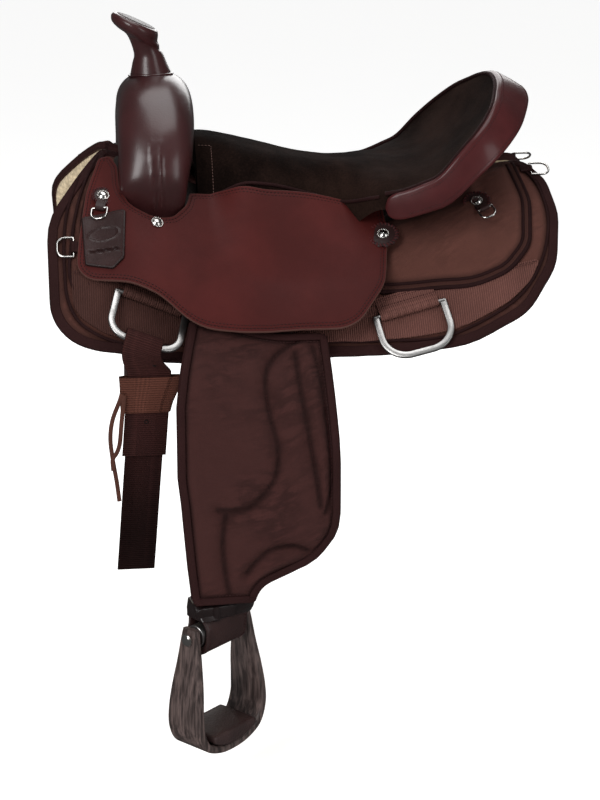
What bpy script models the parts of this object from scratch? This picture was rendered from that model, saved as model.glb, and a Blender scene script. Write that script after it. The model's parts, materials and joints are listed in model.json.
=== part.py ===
# Western trail saddle. Metres, +Z up. The horn points to -X, the cantle to +X, and the near (left)
# side is -Y. The origin lies on the centreline, mid length, at the crest of the fleece underneath.
import math

import bmesh
import bpy
from mathutils import Matrix, Vector

# Clearance between pieces that touch
gap = 0.0003

# Form of the horse's back, as the outer face of the skirt: slope in degrees against the distance
# down the side from the centreline, and how far its ends rise over the withers and the loin
form_slopes = (
    (0.0, 14), (0.05, 30), (0.12, 36), (0.20, 42), (0.31, 55), (0.38, 70), (0.50, 84), (0.60, 88), (1.0, 88),
)
crest_height = 0.020
withers_rise = 0.080
loin_rise = 0.052
level_half_length = 0.040
rise_length = 0.250

# Layers, counted outward from the outer face of the skirt
skirt_thickness = 0.008
fleece_thickness = 0.0117
web_thickness = 0.0022
bar_thickness = 0.012
ground_seat_thickness = 0.0035
rear_panel_thickness = 0.010
jockey_thickness = 0.0045
jockey_height = 0.034
leather_height = 0.015
leather_thickness = 0.0035
fender_thickness = 0.007
lower_fender_space = 0.0040

# Lengths along the saddle
skirt_front = -0.330
skirt_rear = 0.326
skirt_drop = 0.303
channel_half_width = 0.034
bar_front = -0.246
bar_rear = 0.214
fork_centre = -0.191
hinge_x = -0.062
hinge_drop = 0.205

# Stirrup assembly; the near leg is drawn forward, the off leg hangs straight down
leather_width = 0.073
hang_forward = {-1: 0.1835, 1: 0.0}
twist_joint = 0.50
hang_length = 0.129
bolt_out = 0.325
bolt_yaw = math.radians(44)
bolt_radius = 0.0035
roller_radius = 0.014
roller_half = 0.0395
bore_play = 0.0004
leg_thickness = 0.0100
hobble_top = 0.034
hobble_foot = 0.0175
hobble_wall = 0.0028
tread_top = -0.128
tread_half = 0.038

# Hardware
ring_bar_radius = 0.0030
chape_wall = 0.0018
tunnel_play = 0.0004
ring_plate = 0.0040
ring_band = 0.0110
dee_wire = 0.0015
dome_radius = 0.0078
rosette_radius = 0.0135
latigo_width = 0.046
latigo_thickness = 0.004
keeper_thickness = 0.0032

sides = {"left": -1, "right": 1}
lines_x = [0.055 * i for i in range(-7, 8)]
lines_s = [
    0.0, 0.03, 0.05, 0.083, 0.12, 0.16, 0.20, 0.235, 0.27, 0.30, 0.33, 0.36, 0.40, 0.45, 0.50, 0.53, 0.56,
    0.60, 1.0,
]


def new_collection(name):
    collection = bpy.data.collections.new(name)
    bpy.context.scene.collection.children.link(collection)
    return collection


for old in list(bpy.data.objects):
    bpy.data.objects.remove(old, do_unlink=True)
saddle = new_collection("trail_saddle")
cutters = new_collection("cutters")


def finish(name, colour, roughness, metallic=0.0):
    material = bpy.data.materials.new(name)
    material.use_nodes = True
    shader = material.node_tree.nodes["Principled BSDF"]
    shader.inputs["Base Color"].default_value = (*colour, 1.0)
    shader.inputs["Roughness"].default_value = roughness
    shader.inputs["Metallic"].default_value = metallic
    return material


finishes = {
    "burgundy": finish("burgundy_leather", (0.085, 0.022, 0.018), 0.35),
    "jockey": finish("jockey_leather", (0.110, 0.032, 0.024), 0.50),
    "dark": finish("dark_leather", (0.035, 0.018, 0.016), 0.45),
    "suede": finish("suede", (0.022, 0.015, 0.014), 0.95),
    "cordura": finish("cordura", (0.075, 0.038, 0.030), 0.85),
    "webbing": finish("nylon_webbing", (0.060, 0.034, 0.028), 0.75),
    "fleece": finish("fleece", (0.70, 0.60, 0.45), 1.0),
    "tree": finish("tree_plastic", (0.12, 0.11, 0.10), 0.6),
    "steel": finish("stainless_steel", (0.62, 0.60, 0.58), 0.30, 1.0),
    "wood": finish("stained_wood", (0.050, 0.030, 0.026), 0.55),
}


def face_outward(bm):
    bmesh.ops.recalc_face_normals(bm, faces=bm.faces[:])
    if bm.calc_volume(signed=True) < 0:
        bmesh.ops.reverse_faces(bm, faces=bm.faces[:])


def add_mesh(name, bm, colour):
    face_outward(bm)
    mesh = bpy.data.meshes.new(name)
    bm.to_mesh(mesh)
    bm.free()
    mesh.materials.append(finishes[colour])
    mesh.shade_smooth()
    mesh.set_sharp_from_angle(angle=math.radians(35))
    part = bpy.data.objects.new(name, mesh)
    saddle.objects.link(part)
    return part


def combine(part, bm, operation, name):
    """Joins a helper solid to a part, or cuts it away."""
    face_outward(bm)
    mesh = bpy.data.meshes.new(name)
    bm.to_mesh(mesh)
    bm.free()
    tool = bpy.data.objects.new(name, mesh)
    cutters.objects.link(tool)
    tool.hide_render = True
    tool.display_type = "WIRE"
    change = part.modifiers.new(name, "BOOLEAN")
    change.operation = operation
    change.solver = "EXACT"
    change.object = tool


def smooth_step(value):
    value = min(max(value, 0.0), 1.0)
    return value * value * (3 - 2 * value)


def between(table, value):
    """Straight-line reading of a table of (position, amount)."""
    if value <= table[0][0]:
        return table[0][1]
    for (a, low), (b, high) in zip(table, table[1:]):
        if value <= b:
            return low + (high - low) * (value - a) / (b - a)
    return table[-1][1]


def rise(x):
    top = withers_rise if x < 0 else loin_rise
    return top * smooth_step((abs(x) - level_half_length) / rise_length)


def section_lines():
    """Half width, height and slope of the form at each crease line."""
    found = []
    y, z, s, step = 0.0, crest_height, 0.0, 0.0005
    for line in lines_s:
        while s < line - step / 2:
            slope = math.radians(between(form_slopes, s + step / 2))
            y += math.cos(slope) * step
            z -= math.sin(slope) * step
            s += step
        found.append((line, y, z, math.radians(between(form_slopes, line))))
    return found


section = section_lines()
half_widths = [(s, y) for s, y, z, slope in section]
heights = [(s, z) for s, y, z, slope in section]
normals_y = [(s, math.sin(slope)) for s, y, z, slope in section]
normals_z = [(s, math.cos(slope)) for s, y, z, slope in section]
rises = [(x, rise(x)) for x in lines_x]


def on_form(side, x, s, offset=0.0):
    """Point at x along the saddle and s down its side, offset outward from the skirt's face."""
    y = between(half_widths, s) + between(normals_y, s) * offset
    z = between(heights, s) + between(normals_z, s) * offset + between(rises, x)
    return Vector((x, side * y, z))


def frame_on(side, x, s, offset_at, turn=0.0, reach=0.004):
    """Axes along the saddle, down the side and outward, at a point of a laid surface."""
    def point(at_x, at_s):
        return on_form(side, at_x, at_s, offset_at(at_x, at_s))

    here = point(x, s)
    along = point(x + reach, s) - point(x - reach, s)
    down = point(x, s + 0.004) - point(x, s - 0.004)
    out = along.cross(down).normalized()
    if out.y * side < 0 and abs(out.y) > 0.05 or out.z < 0:
        out = -out
    along = along.normalized()
    down = out.cross(along) if out.cross(along).z < 0 else along.cross(out)
    place = Matrix((along, down, out)).transposed().to_4x4()
    place.translation = here
    return place @ Matrix.Rotation(turn, 4, "Z")


def rounded(corners, turn_step=20.0):
    """Closed outline through corners given as (x, y, fillet radius)."""
    outline = []
    count = len(corners)
    for i, (x, y, radius) in enumerate(corners):
        here = Vector((x, y))
        before = Vector(corners[i - 1][:2]) - here
        after = Vector(corners[(i + 1) % count][:2]) - here
        angle = before.angle(after)
        reach = min(radius / math.tan(angle / 2), before.length * 0.49, after.length * 0.49)
        if reach < 1e-5 or math.pi - angle < 0.02:
            outline.append(here)
            continue
        radius = reach * math.tan(angle / 2)
        centre = here + (before.normalized() + after.normalized()).normalized() * radius / math.sin(angle / 2)
        start = here + before.normalized() * reach - centre
        end = here + after.normalized() * reach - centre
        sweep = start.angle_signed(end)
        steps = max(1, round(abs(math.degrees(sweep)) / turn_step))
        for k in range(steps + 1):
            outline.append(centre + start @ Matrix.Rotation(sweep * k / steps, 2))
    return [(p.x, p.y) for p in outline]


def bent_panel(name, side, outline, under, over, colour, place=on_form, creases=None):
    """A flat pattern in (x, s), given its thickness and laid over the form, creased on its lines."""
    bm = bmesh.new()
    bm.faces.new([bm.verts.new((x, s, 0)) for x, s in outline])
    for axis, lines in ((0, lines_x), (1, creases or lines_s)):
        low = min(p[axis] for p in outline) + 1e-4
        high = max(p[axis] for p in outline) - 1e-4
        for line in lines:
            if low < line < high:
                point, normal = [0, 0, 0], [0, 0, 0]
                point[axis], normal[axis] = line, 1
                everything = bm.verts[:] + bm.edges[:] + bm.faces[:]
                bmesh.ops.bisect_plane(bm, geom=everything, dist=2e-5, plane_co=point, plane_no=normal)
    raised = bmesh.ops.extrude_face_region(bm, geom=bm.faces[:])["geom"]
    upper = {v for v in raised if isinstance(v, bmesh.types.BMVert)}
    for v in bm.verts:
        layer = over if v in upper else under
        offset = layer(v.co.x, v.co.y) if callable(layer) else layer
        v.co = place(side, v.co.x, v.co.y, offset)
    return add_mesh(name, bm, colour)


def skin(bm, a, b, split):
    """Faces between two rings; split ones have the same diagonal in every nested skin."""
    count = len(a)
    for i in range(count):
        j = (i + 1) % count
        if split:
            bm.faces.new((a[i], a[j], b[j]))
            bm.faces.new((a[i], b[j], b[i]))
        else:
            bm.faces.new((a[i], a[j], b[j], b[i]))


def loft_mesh(rings, closed_path=False, split=False):
    """Skin through rings of equally many points, capped at both ends."""
    bm = bmesh.new()
    rows = [[bm.verts.new(p) for p in ring] for ring in rings]
    for a, b in list(zip(rows, rows[1:])) + ([(rows[-1], rows[0])] if closed_path else []):
        skin(bm, a, b, split)
    if not closed_path:
        bm.faces.new(rows[0][::-1])
        bm.faces.new(rows[-1])
    return bm


def tube_mesh(outer, inner, split=False):
    """Wall between two skins of rings, open at both ends of its bore."""
    bm = bmesh.new()
    out = [[bm.verts.new(p) for p in ring] for ring in outer]
    hole = [[bm.verts.new(p) for p in ring] for ring in inner]
    for rows in (out, hole):
        for a, b in zip(rows, rows[1:]):
            skin(bm, a, b, split)
    skin(bm, out[0], hole[0], False)
    skin(bm, hole[-1], out[-1], False)
    return bm


def plate_mesh(outline, low, high, place, hole=None):
    """A flat outline with a thickness, optionally with a hole of as many points."""
    if hole:
        skins = [[[place @ Vector((x, y, z)) for x, y in ring] for z in (low, high)] for ring in (outline, hole)]
        return tube_mesh(*skins)
    return loft_mesh([[place @ Vector((x, y, z)) for x, y in outline] for z in (low, high)])


def rod_mesh(start, end, radius, sides_count=12):
    bm = bmesh.new()
    bmesh.ops.create_cone(
        bm, cap_ends=True, segments=sides_count, radius1=radius, radius2=radius, depth=(end - start).length
    )
    turn = (end - start).to_track_quat("Z", "Y").to_matrix().to_4x4()
    bm.transform(Matrix.Translation((start + end) / 2) @ turn)
    return bm


def wire_mesh(points, place, radius, corners=6):
    """A closed ring of round wire through the points of a flat outline."""
    rings = []
    count = len(points)
    for i in range(count):
        here = Vector((*points[i], 0))
        before = (here - Vector((*points[i - 1], 0))).normalized()
        after = (Vector((*points[(i + 1) % count], 0)) - here).normalized()
        side = Vector((before.y + after.y, -before.x - after.x, 0)).normalized()
        ring = []
        for k in range(corners):
            angle = 2 * math.pi * (k + 0.5) / corners
            ray = side * math.cos(angle) + Vector((0, 0, math.sin(angle)))
            ring.append(place @ (here + ray * radius))
        rings.append(ring)
    return loft_mesh(rings, closed_path=True)


def lathe_mesh(profile, place, count=12, scallop=0.0):
    """Rings of (height, radius) about the local Z axis; scallop waves their radius."""
    rings = []
    for height, radius in profile:
        ring = []
        for k in range(count):
            angle = 2 * math.pi * k / count
            wave = radius * (1 - scallop * (k % 2))
            ring.append(place @ Vector((wave * math.cos(angle), wave * math.sin(angle), height)))
        rings.append(ring)
    return loft_mesh(rings)


def pivot(name, location, parts, parent=None):
    """An empty on a joint's axis that carries the pieces of one moving body."""
    empty = bpy.data.objects.new(name, None)
    saddle.objects.link(empty)
    empty.location = location
    for part in parts:
        part.parent = empty
        part.matrix_parent_inverse = Matrix.Translation(-location)
    if parent:
        empty.parent = parent
        empty.matrix_parent_inverse = Matrix.Translation(-parent.location)
    return empty


# Jockey: its underside rises from the skirt at the front edge, clears the swinging fender in the
# middle, lies over the padded rear panel behind, and climbs to the edge of the seat at its top
jockey_base = (
    (-0.275, 2 * gap), (-0.220, 0.026), (-0.165, jockey_height), (0.055, jockey_height),
    (0.110, bar_thickness + rear_panel_thickness + 0.004),
)
jockey_rise = (
    (-0.165, 0.022), (-0.118, 0.041), (-0.085, 0.069), (-0.055, 0.068), (-0.005, 0.062), (0.055, 0.044),
    (0.110, 0.030),
)
jockey_top = 0.083
jockey_rise_end = 0.20


def jockey_under(x, s):
    def at(line_x, line_s):
        base = between(jockey_base, line_x)
        if line_x < -0.16 or line_s >= jockey_rise_end:
            return base
        share = (jockey_rise_end - line_s) / (jockey_rise_end - jockey_top)
        return base + max(between(jockey_rise, line_x) - base, 0.0) * min(share, 1.2) ** 1.3

    x0 = max(line for line in lines_x if line <= x + 1e-9)
    s0 = max(line for line in lines_s if line <= s + 1e-9)
    x1 = min(line for line in lines_x if line > x + 1e-9)
    s1 = min(line for line in lines_s if line > s + 1e-9)
    u, v = (x - x0) / (x1 - x0), (s - s0) / (s1 - s0)
    near_row = at(x0, s0) * (1 - u) + at(x1, s0) * u
    far_row = at(x0, s1) * (1 - u) + at(x1, s1) * u
    return near_row * (1 - v) + far_row * v


def jockey_over(x, s):
    return jockey_under(x, s) + jockey_thickness


def rear_panel_under(x, s):
    over_bar = x <= bar_rear + 0.007 and s <= 0.165
    return bar_thickness + gap if over_bar else gap


def rear_panel_over(x, s):
    return rear_panel_under(x, s) + rear_panel_thickness


skirt_outline = rounded((
    (-0.262, channel_half_width, 0.010), (skirt_front, 0.165, 0.120), (skirt_front + 0.003, 0.350, 0.085),
    (-0.190, 0.336, 0.150), (-0.088, 0.283, 0.200), (0.060, 0.277, 0.300), (0.190, skirt_drop, 0.200),
    (0.305, skirt_drop + 0.002, 0.085), (skirt_rear, 0.100, 0.080), (0.312, channel_half_width, 0.030),
), 24)
fleece_outline = rounded((
    (-0.258, channel_half_width + 0.003, 0.010), (skirt_front + 0.006, 0.167, 0.120),
    (skirt_front + 0.009, 0.344, 0.080), (-0.190, 0.330, 0.150), (-0.088, 0.277, 0.200),
    (0.060, 0.271, 0.300),
    (0.190, skirt_drop - 0.006, 0.200), (0.300, skirt_drop - 0.004, 0.080),
    (skirt_rear - 0.006, 0.102, 0.080), (0.306, channel_half_width + 0.003, 0.030),
), 30)
web_outline = rounded((
    (-0.315, 0.266, 0.004), (-0.200, 0.270, 0.050), (-0.060, 0.240, 0.100), (0.070, 0.2135, 0.050),
    (0.235, 0.2270, 0.100), (0.302, 0.2190, 0.004), (0.288, 0.288, 0.060), (0.180, 0.290, 0.150),
    (0.060, 0.265, 0.300), (-0.088, 0.270, 0.200), (-0.190, 0.324, 0.150), (-0.312, 0.334, 0.070),
), 30)
bar_outline = rounded((
    (bar_front, 0.050, 0.010), (bar_front, 0.166, 0.012), (-0.115, 0.166, 0.020), (-0.100, 0.158, 0.010),
    (hinge_x - 0.020, 0.158, 0.004), (hinge_x - 0.014, 0.214, 0.010), (hinge_x + 0.014, 0.214, 0.010),
    (hinge_x + 0.020, 0.158, 0.004), (0.110, 0.159, 0.040), (bar_rear, 0.159, 0.020),
    (bar_rear, 0.050, 0.010),
), 45)
rear_panel_outline = rounded((
    (0.088, 0.099, 0.004), (0.088, 0.202, 0.004), (0.150, 0.2125, 0.200), (0.232, 0.213, 0.050),
    (0.270, 0.165, 0.060), (0.284, 0.090, 0.060), (0.274, 0.037, 0.010), (0.202, 0.040, 0.006),
    (0.197, 0.099, 0.008),
), 24)
jockey_outline = rounded((
    (-0.263, 0.073, 0.008), (-0.289, 0.190, 0.120), (-0.298, 0.264, 0.035), (-0.210, 0.264, 0.050),
    (-0.155, 0.291, 0.060), (-0.050, 0.262, 0.200), (0.042, 0.262, 0.050), (0.086, 0.205, 0.050),
    (0.097, 0.130, 0.080), (0.094, 0.083, 0.001), (-0.118, 0.083, 0.010), (-0.149, 0.104, 0.004),
    (-0.150, 0.152, 0.030), (-0.2445, 0.152, 0.032), (-0.249, 0.088, 0.003),
), 24)


def lay_side(label, side):
    """Everything of one side that lies on the form."""
    skirt = bent_panel(f"skirt_{label}", side, skirt_outline, -skirt_thickness, 0.0, "cordura")
    fleece_top = -skirt_thickness - gap
    fleece_low = fleece_top - fleece_thickness
    bent_panel(f"skirt_fleece_{label}", side, fleece_outline, fleece_low, fleece_top, "fleece")
    bent_panel(f"tree_bar_{label}", side, bar_outline, gap, bar_thickness, "tree")
    bent_panel(f"rear_panel_{label}", side, rear_panel_outline, rear_panel_under, rear_panel_over, "cordura")
    bent_panel(f"jockey_{label}", side, jockey_outline, jockey_under, jockey_over, "jockey")
    web = bent_panel(f"rigging_web_{label}", side, web_outline, gap, gap + web_thickness, "webbing")
    add_rings(label, side, web)
    add_dome(f"fork_screw_{label}", side, -0.196, 0.168, jockey_over, False)
    add_dome(f"cantle_rosette_{label}", side, 0.090, 0.137, jockey_over, True)
    add_hung_dee("front", label, side, -0.2615, 0.1345, jockey_over, 0.0060, 0.0)
    add_hung_dee("rear", label, side, 0.2160, 0.115, rear_panel_over, 0.0032, math.radians(-10))
    add_edge_dee("breast", label, side, skirt, -0.2995, 0.208, -1, 0.028, 0.020)
    add_edge_dee("back", label, side, skirt, 0.2990, 0.054, 1, 0.022, 0.024)


# Rigging rings: a flat steel dee whose straight top bar turns in a folded chape on the web. The
# front rings stand off the skirt to let a strap through
ring_places = {"front": (-0.208, 0.268), "rear": (0.1165, 0.236)}
ring_sizes = {"front": (0.096, 0.069, 0.028), "rear": (0.096, 0.066, 0.046)}
ring_tilt = {"front": math.radians(10), "rear": 0.0}
ring_bar_height = gap + web_thickness + chape_wall + ring_bar_radius + tunnel_play


def ring_outline(width, height, radius, inset):
    half = width / 2 - inset
    low = height - inset
    fillet = radius - inset
    return rounded(((-half, -0.001, 0.0), (-half, low, fillet), (half, low, fillet), (half, -0.001, 0.0)), 20)


def flat_ring(name, place, width, height, radius):
    outer = ring_outline(width, height, radius, 0.0)
    inner = ring_outline(width, height, radius, ring_band)
    bm = plate_mesh(outer + inner[::-1], -ring_plate / 2, ring_plate / 2, place)
    part = add_mesh(name, bm, "steel")
    reach = width / 2 - ring_band * 0.45
    bar = rod_mesh(place @ Vector((-reach, 0, 0)), place @ Vector((reach, 0, 0)), ring_bar_radius)
    combine(part, bar, "UNION", name + "_bar")
    return part


def swap_axes(place):
    """Local Z along the saddle, local X down the side, local Y outward."""
    return place @ Matrix(((0, 0, 1, 0), (1, 0, 0, 0), (0, 1, 0, 0), (0, 0, 0, 1)))


def ring_frame(side, which):
    x, s = ring_places[which]
    flat = frame_on(side, x, s, lambda u, v: 0.0, reach=0.045)
    lift = Matrix.Translation((0, 0, ring_bar_height))
    return flat, flat @ lift @ Matrix.Rotation(ring_tilt[which], 4, "X")


def add_rings(label, side, web):
    for which in ring_places:
        flat, turned = ring_frame(side, which)
        width, height, radius = ring_sizes[which]
        chape_half = width / 2 - ring_band - 0.008
        tunnel = ring_bar_radius + tunnel_play
        top = ring_bar_height + tunnel + chape_wall
        low = gap + 0.0015
        corners = ((-0.018, low, 0.0), (0.0075, low, 0.0), (0.0055, top, 0.003), (-0.006, top, 0.003))
        profile = rounded(corners, 45)
        chape = plate_mesh(profile, -chape_half, chape_half, swap_axes(flat))
        combine(web, chape, "UNION", f"chape_{which}_{label}")
        bore_half = chape_half + 0.004
        ends = [flat @ Vector((reach, 0, ring_bar_height)) for reach in (-bore_half, bore_half)]
        combine(web, rod_mesh(*ends, tunnel, 12), "DIFFERENCE", f"chape_bore_{which}_{label}")
        ring = flat_ring(f"{which}_ring_{label}", turned, width, height, radius)
        parts = [ring]
        hung = None
        if which == "front":
            lower_bar = turned @ Vector((0, height - ring_band / 2, 0))
            hung = add_strap(label, side, lower_bar, turned.col[0].to_3d())
        swing = pivot(f"{which}_ring_pivot_{label}", turned.translation.copy(), parts)
        if hung:
            hung.parent = swing
            hung.matrix_parent_inverse = Matrix.Translation(-swing.location)


def dome_profile(base):
    return (
        (base, dome_radius), (base + 0.0012, dome_radius),
        (base + 0.0030, dome_radius * 0.72), (base + 0.0040, dome_radius * 0.30),
    )


def add_dome(name, side, x, s, surface, rosette):
    """A domed screw head, on a scalloped leather rosette or bare."""
    place = frame_on(side, x, s, surface)
    if not rosette:
        return add_mesh(name, lathe_mesh(dome_profile(gap), place), "steel")
    disc = ((gap, rosette_radius), (gap + 0.0025, rosette_radius))
    part = add_mesh(name, lathe_mesh(disc, place, 24, 0.10), "dark")
    combine(part, lathe_mesh(dome_profile(gap + 0.0020), place), "UNION", name + "_dome")
    return part


def dee_outline(width, reach):
    half = width / 2
    corners = ((-half, 0, 0.0), (-half, reach, half * 0.9), (half, reach, half * 0.9), (half, 0, 0.0))
    return rounded(corners, 30)


def add_hung_dee(which, label, side, x, s, surface, height, turn):
    """A rosette whose tab holds the straight bar of a small dee."""
    rosette = add_dome(f"{which}_rosette_{label}", side, x, s, surface, True)
    place = frame_on(side, x, s, surface, turn)
    drop = rosette_radius + 0.0065
    tunnel = dee_wire + tunnel_play
    thick = tunnel + 0.0012
    tab = (
        (0.004, gap + 0.0004), (drop - 0.003, gap + 0.0004), (drop + tunnel + 0.0008, height - 0.0012),
        (drop + tunnel, height + thick), (0.004, height + thick * 0.6),
    )
    combine(rosette, plate_mesh(tab, -0.0055, 0.0055, swap_axes(place)), "UNION", f"{which}_tab_{label}")
    axis = place @ Matrix.Translation((0, drop, height))
    bore = rod_mesh(axis @ Vector((-0.008, 0, 0)), axis @ Vector((0.008, 0, 0)), tunnel, 10)
    combine(rosette, bore, "DIFFERENCE", f"{which}_tab_bore_{label}")
    dee = add_mesh(f"{which}_dee_{label}", wire_mesh(dee_outline(0.020, 0.017), axis, dee_wire), "steel")
    pivot(f"{which}_dee_pivot_{label}", axis.translation.copy(), [dee])


def add_edge_dee(which, label, side, skirt, x, s, toward, width, drop):
    """A dee whose bar stands down the side, held by a tab of the skirt."""
    place = frame_on(side, x, s, lambda u, v: 0.0)
    height = gap + dee_wire + 0.0012
    tunnel = dee_wire + tunnel_play
    top = height + tunnel + 0.0012
    profile = ((-0.006, -0.001), (0.0042, -0.001), (0.0034, top), (-0.004, top))
    tab = [(toward * reach, up) for reach, up in profile]
    half = width / 2 - 0.0065
    along = place @ Matrix(((1, 0, 0, 0), (0, 0, 1, 0), (0, 1, 0, 0), (0, 0, 0, 1)))
    combine(skirt, plate_mesh(tab, -half, half, along), "UNION", f"{which}_loop_{label}")
    turned = Matrix(((0, toward, 0, 0), (1, 0, 0, 0), (0, 0, 1, 0), (0, 0, 0, 1)))
    axis = place @ Matrix.Translation((0, 0, height)) @ turned
    bore = rod_mesh(axis @ Vector((-half - 0.002, 0, 0)), axis @ Vector((half + 0.002, 0, 0)), tunnel, 10)
    combine(skirt, bore, "DIFFERENCE", f"{which}_loop_bore_{label}")
    dee = add_mesh(f"{which}_dee_{label}", wire_mesh(dee_outline(width, drop), axis, dee_wire), "steel")
    pivot(f"{which}_dee_pivot_{label}", axis.translation.copy(), [dee])


# Straps doubled over the front rings: the latigo on the near side, the off billet on the off side
strap_turn = 0.0070
strap_slant = 0.115
strap_ends = {-1: (-0.143, -0.293), 1: (-0.215, -0.225)}
loop_drop = (-0.045, -0.086)
loop_play = 0.0004
loop_wall = 0.0025
strap_middle = -0.006


def strap_path(side):
    """Centre line of the doubled strap as (outward, up) from the centre of the ring's lower bar."""
    turn = strap_turn + latigo_thickness / 2
    outer = strap_middle + latigo_thickness + gap
    outer_end, inner_end = strap_ends[side]
    path = [(outer, outer_end), (outer, -0.036), (turn * 0.90, -0.012)]
    path += [(turn * math.cos(math.pi * k / 8), turn * math.sin(math.pi * k / 8)) for k in range(9)]
    path += [(-turn * 0.97, -0.012), (strap_middle, -0.036), (strap_middle, inner_end)]
    return path


def strap_axes(bar_axis, side, up):
    """The strap lies along the ring's bar at the top and turns level below it."""
    share = min(max((-up - 0.009) / 0.027, 0.0), 1.0)
    wide = (bar_axis * (1 - share) + Vector((1, 0, 0)) * share).normalized()
    rise_way = (Vector((0, 0, 1)) - wide * wide.z).normalized()
    out = wide.cross(rise_way)
    return wide, rise_way, out if out.y * side > 0 else -out


def add_strap(label, side, bar, bar_axis):
    path = strap_path(side)
    half = latigo_width / 2

    def station(out, up, face_out, face_up, width):
        wide, high, outward = strap_axes(bar_axis, side, up)
        shift = Vector((strap_slant * min(up, 0.0), 0, 0))
        centre = bar + shift + outward * (out + face_out) + high * (up + face_up)
        return [centre - wide * width, centre + wide * width]

    rings = []
    for i, (out, up) in enumerate(path):
        ahead = path[min(i + 1, len(path) - 1)]
        behind = path[max(i - 1, 0)]
        along = Vector((ahead[0] - behind[0], ahead[1] - behind[1])).normalized()
        face = Vector((-along.y, along.x)) * latigo_thickness / 2
        rings.append(station(out, up, face.x, face.y, half) + station(out, up, -face.x, -face.y, half)[::-1])
    name = "latigo" if side < 0 else "off_billet"
    parts = [add_mesh(name, loft_mesh(rings), "webbing" if side < 0 else "dark")]
    if side < 0:
        skins = []
        for grow in (loop_play + loop_wall, loop_play):
            low = strap_middle - latigo_thickness / 2 - grow
            high = strap_middle + latigo_thickness * 1.5 + gap + grow
            wide = half + grow
            edges = [[station(side_out, up, 0, 0, wide) for side_out in (low, high)] for up in loop_drop]
            skins.append([inner + outer[::-1] for inner, outer in edges])
        parts.append(add_mesh("latigo_loop", tube_mesh(*skins), "webbing"))
        add_latigo_keeper(label, side)
    return pivot(f"{name}_pivot", bar.copy(), parts)


def add_latigo_keeper(label, side):
    """A tapering leather plate with a slot, on the front tip of the near jockey."""
    def under(x, s):
        return jockey_over(x, s) + gap

    def over(x, s):
        return under(x, s) + keeper_thickness

    outline = rounded((
        (-0.289, 0.168, 0.003), (-0.234, 0.158, 0.003), (-0.238, 0.229, 0.006), (-0.252, 0.244, 0.004),
        (-0.286, 0.238, 0.004),
    ), 45)
    keeper = bent_panel("latigo_keeper", side, outline, under, over, "dark")
    place = frame_on(side, -0.262, 0.219, jockey_over)
    slot = rounded([(x * 0.017, y * 0.0018, 0.0015) for x, y in ((-1, -1), (1, -1), (1, 1), (-1, 1))], 90)
    combine(keeper, plate_mesh(slot, -0.004, 0.012, place), "DIFFERENCE", "keeper_slot")


# Tree fork under its leather: an arch from bar to bar, thick in the middle. Each station is
# (out, up, middle along the saddle, half thickness, half length)
fork_path = (
    (0.0, 0.133, -0.191, 0.0440, 0.0455), (0.036, 0.129, -0.191, 0.0430, 0.0455),
    (0.070, 0.114, -0.192, 0.0385, 0.0450), (0.100, 0.088, -0.194, 0.0330, 0.0430),
    (0.124, 0.050, -0.1985, 0.0250, 0.0390),
)
fork_foot = (-0.199, 0.1245, 0.0370, 0.0180)
fork_foot_rise = 0.016
ring_points = 16


def superellipse(k, power=2.5):
    angle = 2 * math.pi * k / ring_points
    c, s = math.cos(angle), math.sin(angle)
    return math.copysign(abs(c) ** (2 / power), c), math.copysign(abs(s) ** (2 / power), s)


def fork_rings(grow, foot_gap=gap):
    right = []
    for i, (y, z, x, thick, length) in enumerate(fork_path):
        ahead = fork_path[min(i + 1, len(fork_path) - 1)]
        behind = fork_path[i - 1] if i else (-fork_path[1][0], fork_path[1][1])
        out = Vector((0, behind[1] - ahead[1], ahead[0] - behind[0])).normalized()
        ring = []
        for k in range(ring_points):
            u, v = superellipse(k)
            point = Vector((x + u * length, y, z)) + out * v * thick
            lift = height_above(point.x, point.y, bar_thickness) + fork_foot_rise - point.z if y > 0.06 else 0.0
            ring.append(point + Vector((u * grow, 0, max(lift, 0.0))) + out * v * grow)
        right.append(ring)
    x, s, length, thick = fork_foot
    place = frame_on(1, x, s + 0.001, lambda a, b: bar_thickness)
    foot = []
    for k in range(ring_points):
        u, v = superellipse(k)
        foot.append(place @ Vector((u * (length + grow), v * (thick + grow) - 0.001, foot_gap)))
    right.append(foot)
    left = [[Vector((p.x, -p.y, p.z)) for p in ring] for ring in right[:0:-1]]
    return left + right


horn_base = Vector((-0.194, 0.0, 0.158))
horn_lean = math.radians(4)
post_radius = 0.0105
post_height = 0.058
cover_thickness = 0.003

# The neck stands nearly upright under a cap that tips back and overhangs it in front. A neck
# station is (along, up, half length, half width), a cap station (back, above, half length, half width)
# from the cap's middle
horn_neck = (
    (-0.1935, 0.1640, 0.0300, 0.0300), (-0.1942, 0.1796, 0.0261, 0.0262), (-0.1955, 0.1920, 0.0222, 0.0225),
    (-0.1970, 0.2050, 0.0184, 0.0195),
)
horn_cap = (
    (0.0190, -0.0125, 0.0225, 0.0215), (0.0100, -0.0080, 0.0290, 0.0285), (0.0035, -0.0040, 0.0315, 0.0335),
    (0.0010, 0.0010, 0.0325, 0.0350), (0.0, 0.0050, 0.0318, 0.0342), (0.0, 0.0085, 0.0280, 0.0300),
)
cap_middle = Vector((-0.215, 0.0, 0.2375))
cap_tilt = math.radians(24)
horn_points = 20


def horn_rings():
    stations = [(Vector((x, 0, z)), 0.0, length, width) for x, z, length, width in horn_neck]
    turn = Matrix.Rotation(cap_tilt, 3, "Y")
    for back, above, length, width in horn_cap:
        stations.append((cap_middle + turn @ Vector((back, 0, above)), cap_tilt, length, width))
    rings = []
    for centre, tilt, length, width in stations:
        turn = Matrix.Rotation(tilt, 3, "Y")
        ring = []
        for k in range(horn_points):
            angle = 2 * math.pi * k / horn_points
            ring.append(centre + turn @ Vector((length * math.cos(angle), width * math.sin(angle), 0)))
        rings.append(ring)
    return rings


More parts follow.
